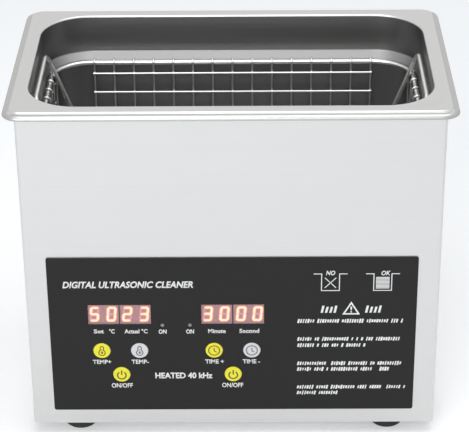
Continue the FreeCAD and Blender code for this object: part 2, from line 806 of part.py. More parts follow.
def tank_sensors():
    body = rod("sensor_body", "sensor_diameter", "sensor_height", 0, "sensor_place", tank_under, "-z")
    cap = rod("sensor_flange", "sensor_flange_diameter", "sensor_flange_thick", 0, "sensor_place", tank_under, "-z")
    node(join("temperature_sensor", body, cap), "temperature_sensor")
    can = rod("cutout_can", "cutout_diameter", "cutout_height", 0, 0, tank_under, "-z")
    top = f"{tank_under} - cutout_height"
    base = rod("cutout_base", "cutout_base_diameter", "cutout_base_height", 0, 0, top, "-z")
    low = f"{top} - cutout_base_height - tab_length"
    tabs = [block("cutout_tab", "tab_thick", "tab_width", "tab_length", f"{side} * tab_spread / 2", 0, low)
            for side in (-1, 1)]
    node(join("thermal_cutout", can, base, *tabs), "thermal_cutout")


# ---------------------------------------------------------------- front panel and control board
def panel_overlay():
    body = doc.addObject("PartDesign::Body", "panel_overlay")
    outline = sketch(body, "panel_outline", "XZ_Plane", f"-{front_face}")
    middle = "panel_low + panel_height / 2"
    draw_rounded(outline, "panel_width", "panel_height", "panel_corner", 0, middle)
    pad(body, outline, "panel_thick")
    holes = sketch(body, "panel_holes", "XZ_Plane", f"-{front_face} + panel_thick")
    for column, place in KEY_PLACES.values():
        draw_circle(holes, "key_diameter + 2 * key_gap", column, place)
    for column in WINDOW_COLUMNS:
        draw_box(holes, "window_width + 2 * window_gap", "window_height + 2 * window_gap", column, "window_level")
    for column in LIGHT_COLUMNS:
        draw_circle(holes, "light_diameter + 2 * hole_clearance", column, "light_level")
    pocket(body, holes, "panel_thick")
    node(body, "panel_overlay")

    windows = []
    low = "window_level - window_height / 2"
    for column in WINDOW_COLUMNS:
        y = f"{front_face} - panel_thick / 2"
        windows.append(block("window", "window_width", "panel_thick", "window_height", column, y, low))
    node(group("display_windows", windows), "display_windows")


def key(label, column, place):
    """A disc in the panel, a stem through the casing, and a collar behind it that keeps it in."""
    body = doc.addObject("PartDesign::Body", label)
    float_gap = "(key_travel + key_running)"
    back = f"(-{front_face} + {float_gap})"
    disc = sketch(body, label + "_disc", "XZ_Plane", back)
    draw_circle(disc, "key_diameter", column, place)
    pad(body, disc, f"panel_thick + key_proud - {float_gap}")
    stem = sketch(body, label + "_stem", "XZ_Plane", back)
    draw_circle(stem, "stem_diameter", column, place)
    reach = "casing_sheet + stud_length - switch_deep - plunger_deep"
    pad(body, stem, reach, reverse=True)
    collar = sketch(body, label + "_collar", "XZ_Plane", f"-{front_inside} - key_running")
    draw_circle(collar, "collar_diameter", column, place)
    pad(body, collar, "collar_thick", reverse=True)
    face = value(f"{front_face} - panel_thick - key_proud")
    fillet(body, "key_edge", lambda edge: abs(edge.BoundBox.YMin - face) < 0.01 and edge.BoundBox.YLength < 0.01)
    node(body, label)


def control_board():
    low = "control_level - control_height / 2"
    plate = block("control_plate", "control_width", "board_thick", "control_height",
                  "control_middle", f"{board_front} + board_thick / 2", low)
    corners = [
        (f"control_middle + {side} * (control_width / 2 - control_stud_inset)",
         f"control_level + {rise} * (control_height / 2 - control_stud_inset)")
        for side, rise in CORNERS
    ]
    bore = "small_screw_diameter + 2 * thread_gap"
    holes, studs, screws = [], [], []
    length = "board_thick + 4"
    for x, z in corners:
        holes.append(rod("control_hole", "small_screw_diameter + 2 * hole_clearance", "board_thick + 2",
                         x, f"{board_front} - 1", z, "y"))
        stud = rod("stud_blank", "stud_diameter", "stud_length", x, front_inside, z, "y")
        thread = rod("stud_thread", bore, "stud_length", x, f"{front_inside} + 1", z, "y")
        studs.append(cut("control_stud", stud, thread))
        screws.append(screw("control_screw", "small_screw_diameter", length, "small_head_diameter",
                            "small_head_height", x, board_back, z, "-y"))
    node(cut("control_board", plate, group("control_holes", holes)), "control_board")
    node(group("control_board_standoffs", studs), "control_board_standoffs")
    node(group("control_board_screws", screws), "control_board_screws")

    modules = []
    deep = "(stud_length + casing_sheet - window_gap)"
    for column in WINDOW_COLUMNS:
        for side in (-1, 1):
            x = f"{column} + {side} * window_width / 4"
            modules.append(block("number_module", "window_width / 2 - window_gap", deep, "module_height",
                                 x, f"{board_front} - {deep} / 2", "window_level - module_height / 2"))
    node(group("display_modules", modules), "display_modules")

    switches = []
    for column, place in KEY_PLACES.values():
        base = block("switch_base", "switch_body", "switch_deep", "switch_body", column,
                     f"{board_front} - switch_deep / 2", f"{place} - switch_body / 2")
        plunger = rod("switch_plunger", "switch_body * 0.55", "switch_deep + plunger_deep", column, board_front,
                      place, "-y")
        switches.append(join("switch", base, plunger))
    node(group("tact_switches", switches), "tact_switches")

    lights = []
    reach = "(stud_length + casing_sheet + panel_thick + light_proud - light_diameter / 2)"
    for column in LIGHT_COLUMNS:
        stem = rod("light_stem", "light_diameter", reach, column, board_front, "light_level", "-y")
        dome = doc.addObject("Part::Sphere", "light_dome")
        tie(dome, "Radius", "light_diameter / 2")
        put(dome, column, f"{board_front} - {reach}", "light_level")
        lights.append(join("light", stem, dome))
    node(group("indicator_leds", lights), "indicator_leds")

    chips = []
    for name, (width, deep, tall, x, z) in CONTROL_CHIPS.items():
        chips.append(block(name, width, deep, tall, x, f"{board_back} + {deep} / 2", z))
    node(group("control_board_chips", chips), "control_board_chips")


# ---------------------------------------------------------------- transducers
def transducers():
    """Two bolted stacks glued under the tank floor: front mass, two rings, three plates, back mass."""
    body = doc.addObject("PartDesign::Body", "front_mass")
    profile = sketch(body, "front_mass_profile", "XZ_Plane")
    bore = "(bolt_diameter / 2 + thread_gap)"
    depth = "front_mass_height"
    draw_outline(profile, [
        (0, 0),
        (0, f"-{depth} / 2"),
        (bore, f"-{depth} / 2"),
        (bore, f"-{depth}"),
        ("front_mass_neck / 2", f"-{depth}"),
        ("front_mass_diameter / 2", "-front_mass_rim"),
        ("front_mass_diameter / 2", 0),
    ])
    turned(body, profile)
    places = [f"{side} * transducer_spread / 2" for side in (-1, 1)]

    def both(item, label):
        node(group(label, [copy_of(item, x, 0, tank_under) for x in places]), label)

    both(body, "transducer_front_masses")
    plates, rings = [], []
    hole = "(bolt_diameter + 2 * bolt_gap)"
    level = f"(-{depth})"
    for stage in range(3):
        top = f"({level} - {stage} * (electrode_thick + piezo_thick))"
        disc = rod("plate_disc", "piezo_diameter", "electrode_thick", 0, 0, top, "-z")
        tab = block("plate_tab", "electrode_tab_width", "piezo_diameter / 2 + electrode_tab", "electrode_thick", 0,
                    "-(piezo_diameter / 2 + electrode_tab) / 2", f"{top} - electrode_thick")
        opening = rod("plate_hole", "piezo_bore", "electrode_thick", 0, 0, top, "-z")
        plates.append(cut("plate", join("plate_blank", disc, tab), opening))
    for stage in range(2):
        top = f"({level} - electrode_thick - {stage} * (electrode_thick + piezo_thick))"
        blank = rod("ring_blank", "piezo_diameter", "piezo_thick", 0, 0, top, "-z")
        opening = rod("ring_hole", "piezo_bore", "piezo_thick", 0, 0, top, "-z")
        rings.append(cut("ring", blank, opening))
    both(group("plates", plates), "electrode_plates")
    both(group("rings", rings), "piezo_rings")
    top = f"({level} - 3 * electrode_thick - 2 * piezo_thick)"
    blank = rod("back_blank", "piezo_diameter", "back_mass_height", 0, 0, top, "-z")
    opening = rod("back_hole", hole, "back_mass_height", 0, 0, top, "-z")
    both(cut("back_mass", blank, opening), "transducer_back_masses")
    under = f"({top} - back_mass_height)"
    head = doc.addObject("Part::Prism", "bolt_head")
    head.Polygon = 6
    tie(head, "Circumradius", "bolt_head_diameter / 2")
    tie(head, "Height", "bolt_head_height")
    put(head, 0, 0, f"{under} - bolt_head_height")
    shank = rod("bolt_shank", "bolt_diameter", f"-{under} - {depth} / 2 - bolt_end_gap", 0, 0, under, "z")
    both(join("bolt", head, shank), "transducer_bolts")


# ---------------------------------------------------------------- driver board
def driver_board():
    plate = block("driver_plate", "driver_width", "driver_depth", "board_thick", 0, "driver_middle", driver_low)
    holes, standoffs, screws = [], [], []
    length = "board_thick + driver_standoff + tray_sheet / 2"
    for x, y in DRIVER_STANDOFFS:
        holes.append(rod("driver_hole", "small_screw_diameter + 2 * hole_clearance", "board_thick + 2", x, y,
                         f"{driver_low} - 1"))
        blank = rod("standoff_blank", "stud_diameter", "driver_standoff", x, y, tray_top)
        bore = rod("standoff_bore", "small_screw_diameter + 2 * thread_gap", "driver_standoff", x, y, tray_top)
        standoffs.append(cut("driver_standoff", blank, bore))
        screws.append(screw("driver_screw", "small_screw_diameter", length, "small_head_diameter",
                            "small_head_height", x, y, driver_top, "-z"))
    node(cut("driver_board", plate, group("driver_holes", holes)), "driver_board")
    node(group("driver_board_standoffs", standoffs), "driver_board_standoffs")
    node(group("driver_board_screws", screws), "driver_board_screws")

    middle = f"{sink_face} + sink_thick / 2"
    parts = [block("sink_plate", "sink_width", "sink_thick", "sink_height", 0, middle, driver_top)]
    for fin in range(FINS):
        x = f"(sink_width - fin_thick) * ({fin} / ({FINS} - 1) - 1 / 2)"
        deep = "(sink_thick / 2 + fin_deep)"
        middle = f"{sink_face} + sink_thick / 2 + {deep} / 2"
        parts.append(block("sink_fin", "fin_thick", deep, "sink_height", x, middle, driver_top))
    node(join("driver_heatsink", *parts), "driver_heatsink")

    transistors = []
    low = f"{driver_top} + leg_length - 1"
    for x in TRANSISTOR_PLACES:
        tab = block("transistor_tab", 10, 1.3, 16, x, f"{sink_face} - 1.3 / 2 - seat_gap", low)
        case = block("transistor_case", 10, 4.4, 9.2, x, f"{sink_face} - 4.4 / 2 - seat_gap", low)
        legs = []
        for step in (-1, 0, 1):
            place = x + step * LEG_PITCH
            legs.append(block("transistor_leg", 0.8, 0.6, "leg_length", place, f"{sink_face} - 2.6", driver_top))
        transistors.append(join("transistor", tab, case, *legs))
    node(group("power_transistors", transistors), "power_transistors")

    x, y = TRANSFORMER_PLACE
    core = block("transformer_core", 34, 12, 26, x, y, f"{driver_top} + 2")
    coil = rod("transformer_coil", 26, 16, x, y, f"{driver_top} + 7")
    foot = block("transformer_foot", 34, 28, 3, x, y, driver_top)
    node(join("driver_transformer", core, coil, foot), "driver_transformer")

    ring = elbow("choke_ring", "choke_radius", "choke_thick", 360, Rotation(), 0, y, f"{driver_top} + choke_thick / 2")
    node(ring, "driver_inductor")

    cans = [rod("capacitor_can", "can_diameter", "can_height", x, "driver_middle - 8", driver_top) for x in CAN_PLACES]
    cans.append(block("film_capacitor", *FILM_CAPACITOR, driver_top))
    node(group("driver_capacitors", cans), "driver_capacitors")

    relays = [block(name, *size_and_place, driver_top) for name, size_and_place in RELAYS.items()]
    node(group("driver_relays", relays), "driver_relays")
    blocks = [block(name, *size_and_place, driver_top) for name, size_and_place in TERMINALS.items()]
    node(group("terminal_blocks", blocks), "terminal_blocks")


# ---------------------------------------------------------------- mains inlet and fuse drawer
inlet_outer = f"({back_face} + inlet_rim_thick)"
mouth_level = "(inlet_level + inlet_height / 2 - inlet_wall - mouth_tall / 2)"
drawer_level = "(inlet_level - inlet_height / 2 + inlet_wall * 2 / 3 + drawer_tall / 2)"


def power_inlet():
    low = "inlet_level - inlet_height / 2"
    case = block("inlet_case", "inlet_width", "inlet_deep", "inlet_height", "inlet_place",
                 f"{back_face} - inlet_deep / 2", low)
    rim = block("inlet_rim_plate", "inlet_width + 2 * inlet_rim", "inlet_rim_thick", "inlet_height + 2 * inlet_rim",
                "inlet_place", f"{back_face} + inlet_rim_thick / 2", f"{low} - inlet_rim")
    mouth = block("inlet_mouth", "mouth_wide", "mouth_deep", "mouth_tall", "inlet_place",
                  f"{inlet_outer} - mouth_deep / 2", f"{mouth_level} - mouth_tall / 2")
    slot_size = ("drawer_wide + 2 * drawer_gap", "drawer_deep + drawer_gap", "drawer_tall + 2 * drawer_gap")
    slot = block("drawer_slot", *slot_size, "inlet_place", f"{inlet_outer} - (drawer_deep + drawer_gap) / 2",
                 f"{drawer_level} - drawer_tall / 2 - drawer_gap")
    pins, holes = [], []
    length = "mouth_deep - pin_recess + pin_tail"
    for step, up, wide, tall in ((-1, -1, "pin_thick", "pin_width"), (1, -1, "pin_thick", "pin_width"),
                                 (0, 1, "pin_width", "pin_thick")):
        x = f"inlet_place + {step} * pin_spread"
        y = f"{inlet_outer} - pin_recess - ({length}) / 2"
        z = f"{mouth_level} + {up} * pin_rise - {tall} / 2"
        pins.append(block("inlet_pin", wide, length, tall, x, y, z))
        holes.append(block("inlet_pin_hole", wide, length, tall, x, y, z))
    node(cut("power_inlet", join("inlet_body", case, rim), mouth, slot, group("pin_holes", holes)), "power_inlet")
    node(group("inlet_pins", pins), "inlet_pins")

    box = block("drawer_box", "drawer_wide", "drawer_deep", "drawer_tall", "inlet_place",
                f"{inlet_outer} - drawer_deep / 2", f"{drawer_level} - drawer_tall / 2")
    trough = "(fuse_diameter + 2 * drawer_gap)"
    hollow = block("drawer_trough", trough, "fuse_length + 2 * drawer_gap", "drawer_tall", "inlet_place",
                   f"{inlet_outer} - drawer_deep / 2", f"{drawer_level} - fuse_diameter / 2 - drawer_gap")
    grip = block("drawer_grip", "drawer_wide / 2", "grip_deep", "grip_tall", "inlet_place",
                 f"{inlet_outer} - grip_deep / 2", f"{drawer_level} - drawer_tall / 2")
    node(cut("fuse_drawer", box, hollow, grip), "fuse_drawer")
    start = f"{inlet_outer} - (drawer_deep - fuse_length) / 2"
    node(rod("fuse", "fuse_diameter", "fuse_length", "inlet_place", start, drawer_level, "-y"), "fuse")


# ---------------------------------------------------------------- fan
fan_front = f"({back_inside} - fan_deep)"


def fan():
    middle = f"{back_inside} - fan_deep / 2"
    low = "fan_level - fan_size / 2"
    frame = block("fan_block", "fan_size", "fan_deep", "fan_size", "fan_place", middle, low)
    bore = rod("fan_tunnel", "fan_bore", "fan_deep", "fan_place", fan_front, "fan_level", "y")
    bolts, screws = [], []
    length = "casing_sheet + fan_deep - 3"
    for side, rise in CORNERS:
        x = f"fan_place + {side} * fan_hole_spread / 2"
        z = f"fan_level + {rise} * fan_hole_spread / 2"
        bolts.append(rod("fan_bolt_hole", "small_screw_diameter + 2 * thread_gap", "fan_deep", x, fan_front, z, "y"))
        screws.append(screw("fan_screw", "small_screw_diameter", length, "small_head_diameter", "small_head_height",
                            x, back_face, z, "-y"))
    shell = cut("fan_shell", frame, bore, group("fan_bolt_holes", bolts))
    seat = rod("fan_seat", "fan_hub", "fan_seat", "fan_place", fan_front, "fan_level", "y")
    span, middle = "(fan_bore + 1)", f"{fan_front} + fan_seat / 2"
    bars = [
        block("fan_bar_across", span, "fan_seat", "fan_bar", "fan_place", middle, "fan_level - fan_bar / 2"),
        block("fan_bar_upright", "fan_bar", "fan_seat", span, "fan_place", middle, f"fan_level - {span} / 2"),
    ]
    bearing = rod("fan_bearing", "fan_axle + 2 * thread_gap", "fan_seat", "fan_place", fan_front, "fan_level", "y")
    node(cut("fan_frame", join("fan_body", shell, seat, *bars), bearing), "fan_frame")
    node(group("fan_screws", screws), "fan_screws")

    hub_deep = "(fan_deep - 2 * fan_seat)"
    hub = rod("rotor_hub", "fan_hub - 1", hub_deep, 0, 0, 0, "y")
    axle = rod("rotor_axle", "fan_axle", "fan_seat + 1", 0, "-fan_seat - 1 / 2", 0, "y")
    blade = doc.addObject("Part::Box", "rotor_blade")
    blade.Placement = FreeCAD.Placement(Vector(), Rotation(Vector(1, 0, 0), -FAN_PITCH))
    tie(blade, "Length", "fan_bore / 2 - fan_tip_gap - fan_hub / 2 + fan_root")
    tie(blade, "Width", "blade_thick")
    tie(blade, "Height", f"{hub_deep} * 1.1")
    half = f"{hub_deep} * 1.1 / 2"
    put(blade, "fan_hub / 2 - fan_root", f"{hub_deep} / 2 - {half} * sin({FAN_PITCH}) - blade_thick * 0.4",
        f"-{half} * cos({FAN_PITCH})")
    one_blade = group("blade_alone", [blade])
    count = int(value("fan_blades"))
    blades = [copy_of(one_blade, turn=Rotation(Vector(0, 1, 0), 360 * place / count)) for place in range(count)]
    rotor = join("rotor_whole", hub, axle, *blades)
    put(rotor, "fan_place", f"{fan_front} + fan_seat + 1 / 2", "fan_level")
    node(rotor, "fan_rotor")


# ---------------------------------------------------------------- leads
def lead_path(points):
    """Straight runs joined by tangent arcs, each as large as its two runs allow."""
    edges, start = [], points[0]
    for before, corner, after in zip(points, points[1:], points[2:]):
        into, out = (corner - before).normalize(), (after - corner).normalize()
        turn = into.getAngle(out)
        shorter = min((corner - before).Length, (after - corner).Length)
        reach = 0.45 * shorter
        first, last = corner - into * reach, corner + out * reach
        bisector = (out - into).normalize()
        radius = reach / math.tan(turn / 2)
        middle = corner + bisector * (radius / math.cos(turn / 2) - radius)
        edges.append(Part.LineSegment(start, first).toShape())
        edges.append(Part.Arc(first, middle, last).toShape())
        start = last
    edges.append(Part.LineSegment(start, points[-1]).toShape())
    return Part.Wire(edges)


def lead(name, points, diameter, flat_width=None):
    """A round lead, or a flat one as wide as given along X, swept along its path."""
    spots = [Vector(*[value(part) for part in point]) for point in points]
    path = lead_path(spots)
    direction = (spots[1] - spots[0]).normalize()
    thick = value(diameter)
    if flat_width is None:
        outline = Part.Wire([Part.Circle(spots[0], direction, thick / 2).toShape()])
        section = math.pi * thick ** 2 / 4
    else:
        side = Vector(flat_width / 2, 0, 0)
        rise = direction.cross(Vector(1, 0, 0)).normalize() * (thick / 2)
        corners = [spots[0] + side + rise, spots[0] - side + rise, spots[0] - side - rise, spots[0] + side - rise]
        outline = Part.makePolygon(corners + corners[:1])
        section = flat_width * thick
    solid = path.makePipeShell([outline], True, False)
    if abs(solid.Volume / (section * path.Length) - 1) > 0.02:
        raise ValueError(f"{name} has the wrong volume")
    item = doc.addObject("Part::Feature", name)
    item.Shape = solid
    return item


def leads():
    """Each lead leaves and meets its parts square to their faces."""
    terminal_top = f"({driver_top} + {TERMINAL_TALL})"
    mains = []
    for place in (-1, 0, 1):
        row = f"{TERMINAL_ROW} - 2.6 * {place}"
        start = f"({back_face} - inlet_deep)"
        mains.append(lead("mains_lead", [
            (f"inlet_place + 7 * {place}", start, mouth_level),
            (f"inlet_place + 7 * {place}", f"{start} - 12", mouth_level),
            (f"inlet_place + 2 + 3 * {place}", f"{start} - 36", f"{mouth_level} - 12"),
            (f"inlet_place + 5 + 3 * {place}", "driver_middle - 8", f"{driver_top} + 11"),
            (f"inlet_place - 3.4 + 2.6 * {place}", f"{row} + 9", f"{driver_top} + 6"),
            ("driver_width / 2 - 5", row, f"{driver_top} + 5"),
            (44, row, f"{driver_top} + 5"),
        ], "lead_diameter"))
    node(group("mains_leads", mains), "mains_leads")

    wires = []
    tab_end = "(-piezo_diameter / 2 - electrode_tab)"
    for side in (-1, 1):
        for stage in range(2):
            plate = f"({tank_under} - front_mass_height - electrode_thick / 2 - {stage} * (electrode_thick + piezo_thick))"
            apart = side * (2.2 - 4.4 * stage)
            end = side * (9 - 5 * stage)
            wires.append(lead("transducer_lead", [
                (f"{side} * transducer_spread / 2 + {apart}", tab_end, plate),
                (f"{side} * transducer_spread / 2 + {apart}", f"{tab_end} - 10", plate),
                (f"{side} * (transducer_spread / 2 - 5) + {apart}", f"{tab_end} - 16", f"{plate} - 24"),
                (f"{side} * (transducer_spread / 2 - 24) + {apart}", f"{tab_end} - 18", f"{driver_top} + 34"),
                (end, TERMINAL_ROW, f"{terminal_top} + 14"),
                (end, TERMINAL_ROW, terminal_top),
            ], "thin_lead_diameter"))
    band_face = "(mouth_depth / 2 - shoulder_inset + tank_sheet + band_gap + band_thick)"
    for x in (3, 9):
        wires.append(lead("heater_lead", [
            (x, f"-{band_face} - thin_lead_diameter / 2", f"{tank_floor} + band_low + 14"),
            (x, f"-{band_face} - thin_lead_diameter / 2 - 0.4", f"{tank_floor} + band_low - 8"),
            (x + 4, f"-{band_face} + 8", f"{tank_floor} - 8"),
            (x + 12, f"{tab_end} - 25", f"{tank_floor} - 34"),
            (x + 24, f"{tab_end} - 25", f"{driver_top} + 44"),
            (x + 28, TERMINAL_ROW, f"{driver_top} + 28"),
            (x + 28, TERMINAL_ROW, terminal_top),
        ], "thin_lead_diameter"))
    for side in (-1, 1):
        socket = TERMINALS["cutout_terminal"][3] + 3 * side
        tab_foot = f"({tank_under} - cutout_height - cutout_base_height - tab_length)"
        wires.append(lead("cutout_lead", [
            (f"{side} * tab_spread / 2", 0, tab_foot),
            (f"{side} * tab_spread / 2", 0, f"{tab_foot} - 8"),
            (f"{side} * tab_spread / 2 - 2", -6, f"{tab_foot} - 20"),
            (socket + 30, -20, f"{driver_top} + 42"),
            (socket + 10, -36, f"{driver_top} + 30"),
            (socket, TERMINAL_ROW, f"{terminal_top} + 12"),
            (socket, TERMINAL_ROW, terminal_top),
        ], "thin_lead_diameter"))
    socket_top = f"({driver_top} + {SOCKET_TALL})"
    socket_x, socket_y = FAN_SOCKET
    for place in range(2):
        shift = 2 * place
        wires.append(lead("fan_lead", [
            (f"fan_place + 22 + {shift}", fan_front, "fan_level - 28"),
            (f"fan_place + 22 + {shift}", f"{fan_front} - 9", "fan_level - 28"),
            (f"fan_place + 12 + {shift}", f"{fan_front} - 20", "fan_level - 22"),
            (socket_x - 1 + shift, socket_y, f"{socket_top} + 9"),
            (socket_x - 1 + shift, socket_y, socket_top),
        ], "thin_lead_diameter"))
    node(group("board_leads", wires), "board_leads")

    header = f"({board_back} + {HEADER_DEEP})"
    ribbon = lead("ribbon", [
        ("control_middle", header, "control_level - 27"),
        ("control_middle", f"{header} + 6", "control_level - 27"),
        ("control_middle", TERMINAL_ROW, f"{socket_top} + 9"),
        ("control_middle", TERMINAL_ROW, socket_top),
    ], 1, flat_width=20)
    node(ribbon, "ribbon_cable")


# ---------------------------------------------------------------- basket
ring_level = f"({flange_top} - ring_drop)"
mesh_floor = f"({ring_level} - basket_height)"
mesh_layer = "(mesh_wire + mesh_gap)"
hook_bend = "(ring_wire / 2 + mesh_wire / 2 + mesh_gap)"
reach_x = f"(ring_width / 2 - {hook_bend})"
reach_y = f"(ring_depth / 2 - {hook_bend})"
pivot_level = f"({mesh_floor} + {mesh_layer} + mesh_wire / 2 + seat_gap + handle_wire / 2)"

FRONT_WIRES_EACH_WAY = int(value("(ring_width / 2 - ring_corner + corner_reach) / mesh_pitch"))
SIDE_WIRES_EACH_WAY = int(value("(ring_depth / 2 - ring_corner + corner_reach) / mesh_pitch"))
FLOOR_WIRES_EACH_WAY = int(value(f"({reach_y} - mesh_bend) / mesh_pitch"))
handle_width = f"(2 * ({SIDE_WIRES_EACH_WAY} * mesh_pitch - handle_inset))"
clip_place = f"({handle_width} / 2 - handle_corner - clip_setback)"


def facing(x_axis, y_axis):
    """The rotation that turns X and Y onto the two given directions."""
    x_axis, y_axis = Vector(*x_axis), Vector(*y_axis)
    return Rotation(x_axis, y_axis, x_axis.cross(y_axis), "XYZ")


def wall_wire(name, floor_level):
    """An upright of a basket wall: hooked over the ring, bent in towards +Y at the floor."""
    hook = elbow(name + "_hook", hook_bend, "mesh_wire", "hook_turn", facing((0, 1, 0), (0, 0, 1)),
                 0, f"-{hook_bend}", ring_level)
    bend = elbow(name + "_bend", "mesh_bend", "mesh_wire", 90, facing((0, 0, -1), (0, -1, 0)),
                 0, "mesh_bend", f"{floor_level} + mesh_bend")
    upright = rod(name + "_upright", "mesh_wire", f"{ring_level} - ({floor_level}) - mesh_bend", 0, 0,
                  f"{floor_level} + mesh_bend")
    return join(name, hook, upright, bend)


def spaced(each_way):
    return [f"{step} * mesh_pitch" for step in range(-each_way, each_way + 1)]


def side_reach(y):
    """How far out a side upright stands, where the ring has begun to turn its corner or not."""
    past = f"max(abs({y}) - (ring_depth / 2 - ring_corner); 0)"
    return f"({reach_x} - ring_corner + sqrt(ring_corner ^ 2 - {past} ^ 2))"


def basket_walls():
    long_run = f"({2 * FRONT_WIRES_EACH_WAY} * mesh_pitch + 2 * mesh_overhang)"
    short_run = f"({2 * SIDE_WIRES_EACH_WAY} * mesh_pitch + 2 * mesh_overhang)"
    front_wire = wall_wire("front_wire", mesh_floor)
    for label, side, turn in (("front", -1, 0), ("back", 1, 180)):
        rotation = Rotation(Vector(0, 0, 1), turn)
        wires = [copy_of(front_wire, x, f"{side} * {reach_y}", 0, rotation) for x in spaced(FRONT_WIRES_EACH_WAY)]
        for row in range(1, WALL_ROWS + 1):
            y = f"{side} * ({reach_y} - {mesh_layer})"
            wires.append(rod(label + "_row", "mesh_wire", long_run, f"-{long_run} / 2", y,
                             f"{mesh_floor} + {row} * row_pitch", "x"))
        node(group(f"basket_{label}_wall", wires), f"basket_{label}_wall")
    side_wire = wall_wire("side_wire", f"{mesh_floor} + {mesh_layer}")
    for label, side, turn in (("left", -1, -90), ("right", 1, 90)):
        rotation = Rotation(Vector(0, 0, 1), turn)
        wires = []
        for y in spaced(SIDE_WIRES_EACH_WAY):
            wires.append(copy_of(side_wire, f"{side} * {side_reach(y)}", y, 0, rotation))
        for row in range(1, WALL_ROWS + 1):
            x = f"{side} * ({reach_x} + {mesh_layer})"
            wires.append(rod(label + "_row", "mesh_wire", short_run, x, f"-{short_run} / 2",
                             f"{mesh_floor} + {row} * row_pitch", "y"))
        node(group(f"basket_{label}_wall", wires), f"basket_{label}_wall")


def basket_floor():
    wires = []
    for step in range(-FLOOR_WIRES_EACH_WAY, FLOOR_WIRES_EACH_WAY + 1):
        y = f"{step} * mesh_pitch"
        length = f"(2 * {side_reach(y)} - 2 * mesh_bend)"
        if abs(step) > SIDE_WIRES_EACH_WAY:
            length = f"({2 * FRONT_WIRES_EACH_WAY} * mesh_pitch + 2 * mesh_overhang)"
        wires.append(rod("floor_long", "mesh_wire", length, f"-{length} / 2", y, f"{mesh_floor} + {mesh_layer}", "x"))
    length = f"(2 * {reach_y} - 2 * mesh_bend)"
    for x in spaced(FRONT_WIRES_EACH_WAY):
        wires.append(rod("floor_cross", "mesh_wire", length, x, f"-{length} / 2", mesh_floor, "y"))
    node(group("basket_floor_mesh", wires), "basket_floor_mesh")


def basket_frame():
    ring = wire_loop("ring_wire_loop", "ring_width", "ring_depth", "ring_corner", "ring_wire")
    put(ring, 0, 0, ring_level)
    node(ring, "basket_ring")

    run_level = f"({tank_floor} + seat_gap + foot_wire / 2)"
    run = "(foot_wire_spread - 2 * foot_wire_bend)"
    parts = [rod("foot_run", "foot_wire", run, 0, f"-{run} / 2", run_level, "y")]
    for side in (-1, 1):
        y, z = f"{side} * {run} / 2", f"{run_level} + foot_wire_bend"
        rotation = facing((0, 0, -1), (0, side, 0))
        parts.append(elbow("foot_bend", "foot_wire_bend", "foot_wire", 90, rotation, 0, y, z))
        rise = f"{mesh_floor} - mesh_wire / 2 - mesh_gap - ({z})"
        parts.append(rod("foot_rise", "foot_wire", rise, 0, f"{side} * foot_wire_spread / 2", z))
    foot = join("foot_wire_whole", *parts)
    feet = [copy_of(foot, f"{side} * 5 * mesh_pitch") for side in (-1, 1)]
    node(group("basket_feet", feet), "basket_feet")

    clips = []
    bore = "(handle_wire + 2 * clip_gap)"
    for side in (-1, 1):
        for end in (-1, 1):
            x, y = f"{side} * handle_pivot", f"{end} * {clip_place} - clip_width / 2"
            outer = rod("clip_outer", f"{bore} + 2 * clip_wall", "clip_width", x, y, pivot_level, "y")
            inner = rod("clip_inner", bore, "clip_width", x, y, pivot_level, "y")
            clips.append(cut("clip", outer, inner))
    node(group("hinge_clips", clips), "hinge_clips")


def handles():
    """Closed wire loops that pivot on the floor and lean outwards against the ring."""
    rise, run = f"({ring_level} - {pivot_level})", "(ring_width / 2 - handle_pivot)"
    rest = "(ring_wire / 2 + handle_wire / 2 + handle_rest_gap)"
    lean = f"atan2({run}; {rise}) - asin({rest} / sqrt({run} ^ 2 + {rise} ^ 2))"
    loop = wire_loop("handle_loop", handle_width, "handle_length", "handle_corner", "handle_wire")
    loop.Placement = FreeCAD.Placement(Vector(), Rotation(Vector(1, 1, 1), 120))
    put(loop, 0, 0, "handle_length / 2")
    for label, side in (("left", -1), ("right", 1)):
        handle = group(f"handle_{label}", [loop])
        handle.Placement = FreeCAD.Placement(Vector(), Rotation(Vector(0, side, 0), 10))
        tie(handle, "Placement.Rotation.Angle", lean)
        put(handle, f"{side} * handle_pivot", 0, pivot_level)
        node(handle, f"handle_{label}")


# ---------------------------------------------------------------- build, check and write
housing_shell()
bottom_plate()
rubber_feet()
fasteners()
tank()
tank_seal()
heating_band()
tank_sensors()
panel_overlay()
for key_label, (key_column, key_place) in KEY_PLACES.items():
    key(key_label, key_column, key_place)
control_board()
transducers()
driver_board()
power_inlet()
fan()
leads()
basket_walls()
basket_floor()
basket_frame()
handles()
doc.recompute()

for item in doc.Objects:
    if "Invalid" in item.State or "Error" in item.State:
        raise ValueError(f"{item.Name} did not build: {item.State}")
for item in nodes:
    if item.Shape.isNull() or not item.Shape.isValid() or not item.Shape.Solids:
        raise ValueError(f"{item.Label} is not a valid solid")

os.makedirs("parts", exist_ok=True)
for item in nodes:
    item.Shape.exportStep(f"parts/{item.Label}.step")
print(len(nodes), "nodes written")
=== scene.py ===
import json
import math

import bmesh
import bpy
from mathutils import Matrix, Vector


